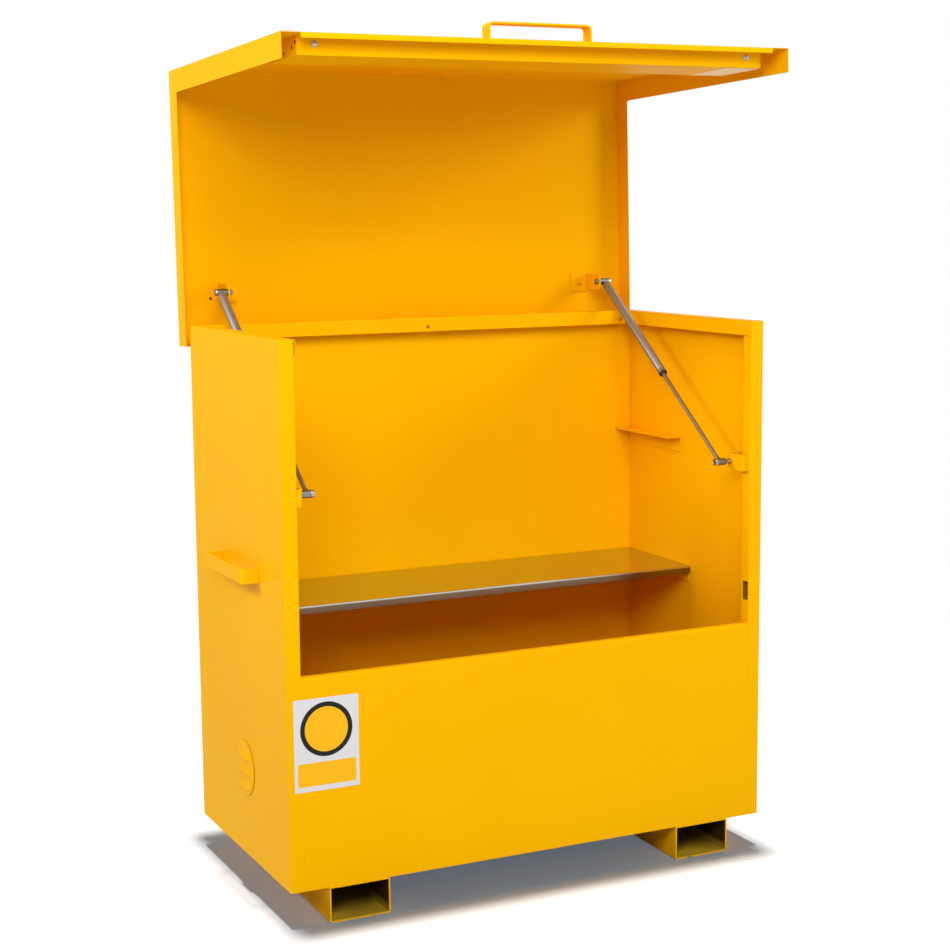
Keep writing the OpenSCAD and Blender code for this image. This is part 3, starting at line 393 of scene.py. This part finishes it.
def galvanised(name):
    """Zinc bath finish: faint spangles, a dull bloom, fine drawn lines and painted shade on the
    folded lip
    """
    finish, shader = mix_finish(name, Metallic=1.0)
    place = add(finish, "TexCoord", {}, "Object")
    drift = add(finish, "TexNoise", {"Vector": place, "Scale": 30.0, "Detail": 2.0}, 1)
    bent = add(finish, "Mix", {0: 0.02, 4: place, 5: drift}, 1, data_type="VECTOR")
    crystal = add(finish, "TexVoronoi", {"Vector": bent, "Scale": 85.0}, 1)
    grain = add(finish, "SeparateColor", {0: crystal})
    bloom = spots(finish, place, 6.0, 0.35, 0.7, 6.0, 0.65)
    crystal_tone = add(finish, "Mix", {0: grain, 6: (0.54, 0.55, 0.50, 1),
                                       7: (0.58, 0.59, 0.54, 1)}, 2, data_type="RGBA")
    sheet_tone = add(finish, "Mix", {0: bloom, 6: crystal_tone, 7: (0.56, 0.57, 0.52, 1)}, 2,
                     data_type="RGBA")
    # The front lip below the fold is darkened brown as painted shade.
    front = add(finish, "SeparateXYZ", {0: place}, "Y")
    up = add(finish, "SeparateXYZ", {0: place}, "Z")
    on_front = add(finish, "MapRange", {0: front, 1: shelf_front + 0.0007, 2: shelf_front - 0.0007})
    below_fold = add(finish, "MapRange", {0: up, 1: shelf_top + 0.001, 2: shelf_top - 0.001})
    painted_shade_on_lip = add(finish, "Math", {0: on_front, 1: below_fold}, operation="MULTIPLY")
    tone = add(finish, "Mix", {0: painted_shade_on_lip, 6: sheet_tone, 7: (0.23, 0.17, 0.11, 1)}, 2,
               data_type="RGBA")
    stretched = add(finish, "Mapping", {"Vector": place, "Scale": (4.0, 380.0, 380.0)})
    lines = add(finish, "TexNoise", {"Vector": stretched, "Scale": 1.0, "Detail": 3.0})
    rough_cells = add(finish, "MapRange", {0: grain, 3: 0.20, 4: 0.24})
    rough_lines = add(finish, "MapRange", {0: lines, 1: 0.35, 2: 0.7, 3: -0.01, 4: 0.01})
    rough = add(finish, "Math", {0: rough_cells, 1: rough_lines}, operation="ADD")
    rounded = add(finish, "Bevel", {"Radius": 0.0008}, samples=4)
    sheet_wave = add(finish, "TexNoise", {"Vector": place, "Scale": 5.0, "Detail": 1.0})
    bump = add(finish, "Bump", {"Height": sheet_wave, "Distance": 0.0012, "Normal": rounded})
    join(finish, shader, "Base Color", tone)
    join(finish, shader, "Roughness", rough)
    join(finish, shader, "Normal", bump)
    return finish


dress("shelf", galvanised("galvanised_sheet"), edge=0.25)
for bracket in ("lower_left", "lower_right", "upper_left", "upper_right"):
    dress(bracket + "_shelf_bracket", paint, edge=0.5)
bracket_welds = bmesh.new()
for way in (-1, 1):
    for top, front in bracket_corners:
        for y in (front, front + 110, front + 210):
            lay_bead(bracket_welds, (way * 628.3, y, top - 38), (way * 628.3, y + 28, top - 38), 4)
place_all(bracket_welds, on_chest)
put_on(bracket_welds, "bracket_welds", paint, "chest")

# Side handles
# Flat steel strip, 34 by 5 mm, bent twice and welded by its ends to the side panel.
# The arrises are broken so that they don't cut a hand.
for side in ("left", "right"):
    dress(side + "_side_handle", paint, edge=1.0)
handle_low = 770
handle_high = 804
handle_welds = bmesh.new()
for way in (-1, 1):
    x = way * (side_outside + 0.3)
    for y in (167.6, 430.4):
        lay_bead(handle_welds, (x, y, handle_low + 1), (x, y, handle_high - 1), 4)
    for y in (171, 427):
        for z in (handle_low, handle_high):
            lay_bead(handle_welds, (x, y - 2, z), (x, y + 2, z), 3.5)
place_all(handle_welds, on_chest)
put_on(handle_welds, "handle_welds", paint, "chest")

# Hinges
# Three butt hinges of rolled steel, one leaf welded to the back and one inside the lid's skirt.
# Each turns on a plated pin with a riveted head at both ends.
hinge_places = (-578, 0, 578)
hinge_y = 647
hinge_z = 1287
for place_name in ("left", "middle", "right"):
    dress(place_name + "_hinge_body_leaf", paint)
    dress(place_name + "_hinge_lid_leaf", paint)


def plated(name, tint, deep):
    """Bright plating with a faint cloudy bloom and turning marks"""
    finish, shader = mix_finish(name, Metallic=1.0)
    place = add(finish, "TexCoord", {}, "Object")
    cloud = spots(finish, place, 160.0, 0.3, 0.75, 5.0)
    color = add(finish, "Mix", {0: cloud, 6: deep, 7: tint}, 2, data_type="RGBA")
    rough = add(finish, "MapRange", {0: cloud, 3: 0.36, 4: 0.22})
    marks = add(finish, "TexNoise", {"Vector": place, "Scale": 1500.0, "Detail": 2.0})
    bump = add(finish, "Bump", {"Height": marks, "Distance": 0.00002})
    join(finish, shader, "Base Color", color)
    join(finish, shader, "Roughness", rough)
    join(finish, shader, "Normal", bump)
    return finish


zinc = plated("zinc_plate", (0.54, 0.51, 0.46, 1), (0.33, 0.31, 0.28, 1))
grey_plate = plated("grey_plated_steel", (0.30, 0.30, 0.29, 1), (0.17, 0.17, 0.17, 1))
along_x = Matrix.Rotation(math.pi / 2, 4, "Y")
pins = bmesh.new()
for x in hinge_places:
    axis = Matrix.Translation((x, hinge_y, hinge_z)) @ along_x
    turn_profile(pins, [(0, -41.5), (2.2, -41.4), (3.8, -40.9), (4.5, -40.0), (3, -40), (3, 40),
                        (4.5, 40), (3.8, 40.9), (2.2, 41.4), (0, 41.5)], axis, 28)
place_all(pins, on_chest)
put_on(pins, "riveted_hinge_pins", zinc, "chest", ["hinge_pins"])

# Strut feet
# A folded strap of 3 mm steel welded between each stile and side panel.
# It holds the lower ball stud with a zinc plated nut on its back.
foot_ball_y = 64
foot_ball_z = 984
foot_back_x = 582
stud_radius = 4
for side in ("left", "right"):
    dress(side + "_strut_foot", paint)


def add_nut(mesh, place, across_corners=15.0, height=6.5):
    """Hexagon nut with chamfered corners, sitting on the local XY plane"""
    before = set(mesh.verts)
    middle = Matrix.Translation((0, 0, height / 2))
    bmesh.ops.create_cone(mesh, cap_ends=True, segments=6, radius1=across_corners / 2,
                          radius2=across_corners / 2, depth=height, matrix=middle)
    rims = {e for v in new_since(mesh, before) for e in v.link_edges
            if abs(e.verts[0].co.z - e.verts[1].co.z) < 0.1}
    bmesh.ops.bevel(mesh, geom=list(rims), offset=0.7, segments=2, profile=0.5, affect="EDGES",
                    clamp_overlap=True, material=-1)
    bmesh.ops.transform(mesh, matrix=place, verts=new_since(mesh, before))


def add_thread(mesh, place, radius, length, pitch=1.25):
    """Threaded end of a stud, from the local XY plane up, with a chamfered tip"""
    ridges = [(0, 0), (radius - 0.4, 0)]
    turns = int((length - 0.8) / pitch)
    for turn in range(turns):
        ridges.append((radius, (turn + 0.35) * pitch))
        ridges.append((radius - 0.55, (turn + 0.95) * pitch))
    ridges += [(radius, length - 0.7), (radius - 0.9, length), (0, length)]
    turn_profile(mesh, ridges, place, 24)


foot_nuts = bmesh.new()
for way in (-1, 1):
    outward = Matrix(((0, 0, way, way * foot_back_x), (0, 1, 0, foot_ball_y),
                      (-way, 0, 0, foot_ball_z), (0, 0, 0, 1)))
    add_nut(foot_nuts, outward)
    shank = outward @ Matrix.Translation((0, 0, 6.5))
    add_thread(foot_nuts, shank, stud_radius, 3)
    turn_profile(foot_nuts, [(0, -2.6), (stud_radius, -2.6), (stud_radius, 0.5), (0, 0.5)],
                 outward, 24)
place_all(foot_nuts, on_chest)
put_on(foot_nuts, "plated_foot_nuts", zinc, "chest", ["strut_foot_nuts"])
foot_welds = bmesh.new()
for way in (-1, 1):
    lay_bead(foot_welds, (way * 594.6, 10, 966), (way * 594.6, 10, 1002), 3.5)
    lay_bead(foot_welds, (way * 628.3, 73, 966), (way * 628.3, 73, 1002), 3.5)
place_all(foot_welds, on_chest)
put_on(foot_welds, "foot_welds", paint, "chest")

# Placard
# A printed white plastic plate glued to the front panel near the left stile.
# It bears a plain disc in a ring over a plain coloured box, without words or signs.


def printed(name, color, fleck, rough):
    """Flat print on plastic with a slight mottle"""
    finish, shader = mix_finish(name, Specular_IOR_Level=0.15)
    place = add(finish, "TexCoord", {}, "Object")
    mottle = spots(finish, place, 240.0, 0.3, 0.8, 4.0)
    ink = add(finish, "Mix", {0: mottle, 6: color, 7: fleck}, 2, data_type="RGBA")
    gloss = add(finish, "MapRange", {0: mottle, 3: rough, 4: rough + 0.08})
    join(finish, shader, "Base Color", ink)
    join(finish, shader, "Roughness", gloss)
    return finish


def rounded_plate(mesh, x0, x1, z0, z1, y0, y1, corner):
    """Upright plate with rounded corners"""
    before = set(mesh.verts)
    low = Vector((x0, y0, z0))
    high = Vector((x1, y1, z1))
    size = Matrix.Diagonal((*(high - low), 1))
    bmesh.ops.create_cube(mesh, size=1, matrix=Matrix.Translation((low + high) / 2) @ size)
    corners = {e for v in new_since(mesh, before) for e in v.link_edges
               if abs(e.verts[0].co.y - e.verts[1].co.y) > 1e-6
               and abs(e.verts[0].co.x - e.verts[1].co.x) < 1e-6
               and abs(e.verts[0].co.z - e.verts[1].co.z) < 1e-6}
    bmesh.ops.bevel(mesh, geom=list(corners), offset=corner, segments=6, profile=0.5,
                    affect="EDGES", clamp_overlap=True, material=-1)


white_plastic = printed("white_plate", (0.69, 0.68, 0.70, 1), (0.73, 0.72, 0.74, 1), 0.40)
sign_yellow = printed("sign_yellow", (0.95, 0.49, 0.008, 1), (0.92, 0.46, 0.008, 1), 0.45)
sign_black = printed("sign_black", (0.010, 0.010, 0.011, 1), (0.018, 0.017, 0.016, 1), 0.4)
plate = bmesh.new()
rounded_plate(plate, -616, -459, 317, 531, -0.72, 0, 1.5)
place_all(plate, on_chest)
put_on(plate, "placard_plate", white_plastic, "chest", ["placard"])
ring_radius = 63
disc_radius = 52
disc_at = Matrix.Translation((-537.5, 0, 458)) @ Matrix.Rotation(math.pi / 2, 4, "X")
black_print = bmesh.new()
turn_profile(black_print, [(0, 0.70), (ring_radius, 0.70), (ring_radius, 0.76), (0, 0.76)],
             disc_at, 72)
place_all(black_print, on_chest)
put_on(black_print, "placard_black_print", sign_black, "chest")
yellow_print = bmesh.new()
turn_profile(yellow_print, [(0, 0.74), (disc_radius, 0.74), (disc_radius, 0.78), (0, 0.78)],
             disc_at, 72)
rounded_plate(yellow_print, -608, -467, 329, 383, -0.76, -0.70, 5)
place_all(yellow_print, on_chest)
put_on(yellow_print, "placard_yellow_print", sign_yellow, "chest")

# Lid shell
# Rear skirt, top and drop panel folded from one sheet, with an L-shaped cheek welded over each end.
# It is drawn open, with the top standing upright behind the body and the drop panel over it.
for sheet_part in ("lid_wrap", "left_lid_cheek", "right_lid_cheek"):
    dress(sheet_part, paint)
opening = math.radians(91.87)
hinge_line = Vector((0, hinge_y, hinge_z))
on_lid = (on_chest @ Matrix.Translation(hinge_line) @ Matrix.Rotation(-opening, 4, "X")
          @ Matrix.Translation(-hinge_line))

# Lock rail
# A box section of 1.5 mm sheet across the drop panel, with the bolts' holes in its closed ends.
# Two screws hold its cover, and a blank plate is glued on its right end.
dress("lock_rail", paint)
screws = bmesh.new()
for way in (-1, 1):
    under = Matrix.Translation((way * 546, -5, 585)) @ Matrix.Rotation(math.pi, 4, "X")
    turn_profile(screws, [(0, 0), (7.5, 0), (7.5, 1.2), (7.1, 1.6), (4.4, 1.6), (4.2, 2.6),
                          (3.3, 3.3), (1.8, 3.6), (0, 3.6)], under, 32)
place_all(screws, on_lid)
put_on(screws, "rail_screw_heads", zinc, "lid", ["rail_screws"])
blank = bmesh.new()
rounded_plate(blank, 496, 586, 591.5, 753.5, 19.5, 20.1, 4)
place_all(blank, on_lid)
cream_plastic = printed("cream_plate", (0.94, 0.68, 0.34, 1), (0.96, 0.72, 0.38, 1), 0.4)
put_on(blank, "blank_rail_plate", cream_plastic, "lid", ["inner_plate"])

# Lid handle
# The same bent strip as the side handles, welded to the outside of the drop panel.
# A hand lifts the lid by it, and pulls the lid down again against the struts.
dress("lid_handle", paint, edge=1.0)
lid_handle_welds = bmesh.new()
for way in (-1, 1):
    lay_bead(lid_handle_welds, (way * 131.4, -24.8, 590), (way * 131.4, -24.8, 622), 4)
place_all(lid_handle_welds, on_lid)
put_on(lid_handle_welds, "lid_handle_welds", paint, "lid")

# Lid brackets and ball studs
# A steel angle on two welded studs under the lid's top carries each upper ball stud.
# Their nuts are painted over with the lid, and small brown plugs close the spare holes beside them.
ball_x = 548
ball_radius = 5
lid_ball_y = 520.5
lid_ball_z = 1275
for side in ("left", "right"):
    dress(side + "_strut_lid_bracket", paint)


def moulded(name, deep, pale):
    """Plastic with the fine grain of its mould"""
    finish, shader = mix_finish(name, Specular_IOR_Level=0.4)
    place = add(finish, "TexCoord", {}, "Object")
    grain = add(finish, "TexNoise", {"Vector": place, "Scale": 1800.0, "Detail": 2.0})
    tone = add(finish, "Mix", {0: grain, 6: deep, 7: pale}, 2, data_type="RGBA")
    rough = add(finish, "MapRange", {0: grain, 3: 0.38, 4: 0.55})
    bump = add(finish, "Bump", {"Height": grain, "Distance": 0.00003})
    join(finish, shader, "Base Color", tone)
    join(finish, shader, "Roughness", rough)
    join(finish, shader, "Normal", bump)
    return finish


black_plastic = moulded("black_plastic", (0.010, 0.010, 0.011, 1), (0.026, 0.026, 0.027, 1))
brown_plastic = moulded("brown_plastic", (0.075, 0.032, 0.006, 1), (0.11, 0.05, 0.01, 1))
bracket_nuts = bmesh.new()
plugs = bmesh.new()
for way in (-1, 1):
    inside = Matrix.Translation((way * 504, lid_ball_y, 1341.5)) @ Matrix.Rotation(math.pi, 4, "X")
    turn_profile(bracket_nuts, [(0, 0), (8.6, 0), (9, 0.4), (9, 1.2), (8.6, 1.6), (0, 1.6)],
                 inside, 36)
    add_nut(bracket_nuts, inside @ Matrix.Translation((0, 0, 1.6)))
    add_thread(bracket_nuts, inside @ Matrix.Translation((0, 0, 8.1)), stud_radius, 3)
    spare = Matrix.Translation((way * 552, 536.5, 1345.5)) @ Matrix.Rotation(math.pi, 4, "X")
    turn_profile(plugs, [(0, 0), (4, 0), (3.8, 0.6), (3.2, 1), (1.8, 1.2), (0, 1.2)], spare, 28)
for group, name, finish, slot, node in (
        (bracket_nuts, "painted_bracket_nuts", paint, "yellow_paint", "lid_bracket_nuts"),
        (plugs, "spare_hole_plugs", brown_plastic, "black_plastic", "lid_hole_plugs")):
    place_all(group, on_lid)
    put_on(group, name, finish, "lid", [node])
ball_arc = [(ball_radius * math.cos(a), ball_radius * math.sin(a)) for a in
            [math.radians(d) for d in range(-90, 49, 12)]]
for side, way in (("left", -1), ("right", 1)):
    stud = bmesh.new()
    toward_bracket = Matrix(((0, 0, -way, way * ball_x), (0, 1, 0, lid_ball_y),
                             (way, 0, 0, lid_ball_z), (0, 0, 0, 1)))
    turn_profile(stud, ball_arc + [(3.4, 4.3), (3.2, 6.5), (4, 8.2), (4, 17), (0, 17)],
                 toward_bracket, 32)
    add_nut(stud, toward_bracket @ Matrix.Translation((0, 0, 15.3)), height=1.7)
    turn_profile(stud, [(0, 16.8), (4, 16.8), (4, 21.2), (0, 21.2)], toward_bracket, 24)
    add_nut(stud, toward_bracket @ Matrix.Translation((0, 0, 21)))
    add_thread(stud, toward_bracket @ Matrix.Translation((0, 0, 27.5)), stud_radius, 3)
    place_all(stud, on_lid)
    put_on(stud, side + "_plated_upper_stud", grey_plate, "lid",
           [side + "_upper_ball_stud"])

# Lock
# A key barrel in a round escutcheon turns a cam inside the rail, which draws a bolt at each end.
# Barrel, cam and bolts are zinc plated steel, and two guides in the rail keep the bolts straight.
escutcheon = bmesh.new()
outside = Matrix.Translation((0, -24.5, 662)) @ Matrix.Rotation(math.pi / 2, 4, "X")
turn_profile(escutcheon, [(9.05, 0), (26, 0), (26, 1.4), (25.2, 2.4), (22.5, 3.1), (15, 3.5),
                          (11.5, 4), (9.6, 4), (9.05, 3.5), (9.05, 0)], outside, 64)
place_all(escutcheon, on_lid)
put_on(escutcheon, "pressed_escutcheon", zinc, "lid", ["lock_escutcheon"])
for lock_part in ("lock_barrel", "left_lock_bolt", "right_lock_bolt", "bolt_guides"):
    dress(lock_part, zinc)

# Gas struts
# A silver painted tube on the lid's ball and a chromed rod on the body's ball, with black caps.
# The sockets are grey plated steel barrels across the balls, each with a bright plated ring at one
# end that is partly a painted highlight.


def satin_metal(name, deep, pale):
    """Fine flakes and rubbed patches, for paint with metal in it and for dulled chrome"""
    finish, shader = mix_finish(name, Metallic=0.75, Specular_IOR_Level=0.4)
    place = add(finish, "TexCoord", {}, "Object")
    flake = add(finish, "TexNoise", {"Vector": place, "Scale": 2400.0, "Detail": 1.0})
    rub = spots(finish, place, 60.0, 0.4, 0.7, 5.0)
    tone = add(finish, "Mix", {0: flake, 6: deep, 7: pale}, 2, data_type="RGBA")
    rough = add(finish, "MapRange", {0: rub, 3: 0.42, 4: 0.52})
    join(finish, shader, "Base Color", tone)
    join(finish, shader, "Roughness", rough)
    return finish


silver = satin_metal("silver_tube_paint", (0.25, 0.235, 0.21, 1), (0.33, 0.31, 0.28, 1))
# The rod's chrome is tinted dull tan as a painted reflection of the yellow paint around it.
chrome = satin_metal("chromed_rod", (0.21, 0.165, 0.10, 1), (0.27, 0.215, 0.135, 1))
to_front = lid_ball_y - hinge_y
to_top = lid_ball_z - hinge_z
ball_open_y = hinge_y + to_front * math.cos(opening) + to_top * math.sin(opening)
ball_open_z = hinge_z - to_front * math.sin(opening) + to_top * math.cos(opening)
run = Vector((0, foot_ball_y - ball_open_y, foot_ball_z - ball_open_z)).normalized()
neck = 12
mouth = neck + 368
for side, way in (("left", -1), ("right", 1)):
    sideways = Vector((way, 0, 0))
    lift = run.cross(sideways)
    on_strut = on_chest @ Matrix((
        (sideways.x, lift.x, run.x, way * ball_x),
        (sideways.y, lift.y, run.y, ball_open_y),
        (sideways.z, lift.z, run.z, ball_open_z),
        (0, 0, 0, 1),
    ))
    tube = bmesh.new()
    turn_profile(tube, [(0, neck), (7.5, neck), (9.4, neck + 0.8), (10.6, neck + 2.4),
                        (11, neck + 4.5), (11, mouth - 12), (10.5, mouth - 10.8),
                        (10.5, mouth - 8.6), (11, mouth - 7.4), (11, mouth - 0.4),
                        (10.6, mouth), (10, mouth), (10, neck + 8), (0, neck + 8)],
                 on_strut, 48)
    bmesh.ops.recalc_face_normals(tube, faces=tube.faces)
    put_on(tube, side + "_painted_tube", silver, side + "_tube",
           [side + "_strut_tube"])
    cap = bmesh.new()
    turn_profile(cap, [(5.05, mouth - 20), (9.95, mouth - 20), (9.95, mouth), (11, mouth),
                       (11, mouth + 3.6), (10.4, mouth + 5), (8.6, mouth + 6), (5.9, mouth + 6),
                       (5.05, mouth + 5.2), (5.05, mouth - 20)], on_strut, 48)
    bmesh.ops.recalc_face_normals(cap, faces=cap.faces)
    put_on(cap, side + "_tube_cap", black_plastic, side + "_tube",
           [side + "_strut_cap"])
    for end, part, ball_y, ball_z, free in (
            ("upper", "_tube", ball_open_y, ball_open_z, way),
            ("lower", "_rod", foot_ball_y, foot_ball_z, -way)):
        dress(side + "_" + end + "_socket", grey_plate, edge=0.8)
        # The ring's brighter zinc is partly a painted highlight on the socket's rounded free end.
        ring = bmesh.new()
        barrel = Matrix(((0, 0, free, way * ball_x), (0, 1, 0, ball_y), (-free, 0, 0, ball_z),
                         (0, 0, 0, 1)))
        turn_profile(ring, [(8.5, 8), (9.2, 8), (9.3, 8.3), (9.3, 14.6), (8.9, 15.3), (7.4, 15.3),
                            (7.2, 15), (8.5, 14.6), (8.5, 8)], barrel, 36)
        place_all(ring, on_chest)
        put_on(ring, side + "_" + end + "_socket_ring", zinc, side + part)
    dress(side + "_strut_rod", chrome)
    dress(side + "_lower_ball_stud", zinc)

# Studio
# A white floor and backdrop, seven soft lamps on the chest, and a high sun for the floor alone.
# The chest's shadow comes from the sun, and a faint cool haze evens out the paint's glow in it.
floor_radius = 14
lamp_aim = Vector((0, 0, 1.1))
lamp_away = 4.6
floor_mesh = bmesh.new()
bmesh.ops.create_circle(floor_mesh, cap_ends=True, segments=96, radius=floor_radius)
bmesh.ops.recalc_face_normals(floor_mesh, faces=floor_mesh.faces)
floor_data = bpy.data.meshes.new("studio_floor")
floor_mesh.to_mesh(floor_data)
floor_mesh.free()
floor = bpy.data.objects.new("studio_floor", floor_data)
bpy.context.scene.collection.objects.link(floor)
floor_finish = bpy.data.materials.new("studio_white")
floor_finish.use_nodes = True
floor_finish.node_tree.nodes.clear()
floor_place = add(floor_finish, "TexCoord", {}, "Object")
away = add(floor_finish, "VectorMath", {0: floor_place}, "Value", operation="LENGTH")
far = add(floor_finish, "MapRange", {0: away, 1: 1.6, 2: 3.2}, interpolation_type="SMOOTHSTEP")
speck = spots(floor_finish, floor_place, 3.0, 0.3, 0.7)
dull = add(floor_finish, "Mix", {0: speck, 6: (0.64, 0.64, 0.64, 1), 7: (0.66, 0.66, 0.66, 1)}, 2,
           data_type="RGBA")
seen = add(floor_finish, "LightPath", {}, "Is Camera Ray")
mirrored = add(floor_finish, "LightPath", {}, "Is Glossy Ray")
direct = add(floor_finish, "Math", {0: seen, 1: mirrored}, operation="MAXIMUM")
pale = add(floor_finish, "Mix", {0: direct, 6: dull, 7: (0.95, 0.95, 0.95, 1)}, 2,
           data_type="RGBA")
matt = add(floor_finish, "BsdfDiffuse", {"Color": pale})
haze = add(floor_finish, "Emission", {"Color": (0.055, 0.105, 0.145, 1), "Strength": 1.0})
veiled = add(floor_finish, "AddShader", {0: matt, 1: haze})
white_glow = add(floor_finish, "Emission", {"Strength": 1.0})
near = add(floor_finish, "MixShader", {0: direct, 1: matt, 2: veiled})
fade = add(floor_finish, "Math", {0: direct, 1: far}, operation="MULTIPLY")
surface = add(floor_finish, "MixShader", {0: fade, 1: near, 2: white_glow})
output = floor_finish.node_tree.nodes.new("ShaderNodeOutputMaterial")
floor_finish.node_tree.links.new(surface, output.inputs["Surface"])
floor_data.materials.append(floor_finish)
lamps_light = bpy.data.collections.new("lamps_light")
lamps_light.objects.link(floor)
lamps_light.collection_objects[0].light_linking.link_state = "EXCLUDE"


def hang_lamp(name, turn, height, power, size):
    """Square soft lamp, turned and raised by degrees from the chest's front, aimed at its middle"""
    data = bpy.data.lights.new(name, "AREA")
    data.size = size
    data.energy = power
    turn = math.radians(turn)
    height = math.radians(height)
    way = Vector((math.sin(turn) * math.cos(height), -math.cos(turn) * math.cos(height),
                  math.sin(height)))
    lamp = bpy.data.objects.new(name, data)
    lamp.matrix_world = (Matrix.Translation(lamp_aim + lamp_away * way)
                         @ way.to_track_quat("Z", "Y").to_matrix().to_4x4())
    bpy.context.scene.collection.objects.link(lamp)
    lamp.light_linking.receiver_collection = lamps_light


hang_lamp("key_lamp", -30, 25, 86, 1.4)
hang_lamp("low_lamp", -5, 4, 8, 1.4)
hang_lamp("high_lamp", -13, 42, 72, 1.5)
hang_lamp("right_lamp", 62, 22, 76, 1.6)
hang_lamp("left_lamp", -100, 28, 106, 1.6)
hang_lamp("back_lamp", 165, 30, 76, 2.0)
hang_lamp("top_lamp", 0, 85, 24, 1.6)
sun = bpy.data.lights.new("high_sun", "SUN")
sun.angle = math.radians(2.6)
sun.energy = 3.2
sun_lamp = bpy.data.objects.new("high_sun", sun)
bpy.context.scene.collection.objects.link(sun_lamp)
sun_lights = bpy.data.collections.new("sun_lights")
sun_lights.objects.link(floor)
sun_lamp.light_linking.receiver_collection = sun_lights
world = bpy.data.worlds.new("studio_sky")
bpy.context.scene.world = world
world.use_nodes = True
world.node_tree.nodes.clear()
sky = add(world, "Background", {"Color": (1, 1, 1, 1), "Strength": 0.10})
backdrop = add(world, "Background", {"Color": (1, 1, 1, 1), "Strength": 1.0})
to_camera = add(world, "LightPath", {}, "Is Camera Ray")
to_gloss = add(world, "LightPath", {}, "Is Glossy Ray")
to_glass = add(world, "LightPath", {}, "Is Transmission Ray")
shown = add(world, "Math", {0: to_camera, 1: to_gloss}, operation="MAXIMUM")
shown = add(world, "Math", {0: shown, 1: to_glass}, operation="MAXIMUM")
around = add(world, "MixShader", {0: shown, 1: sky, 2: backdrop})
world_output = world.node_tree.nodes.new("ShaderNodeOutputWorld")
world.node_tree.links.new(around, world_output.inputs["Surface"])
bpy.context.scene.view_settings.view_transform = "Standard"
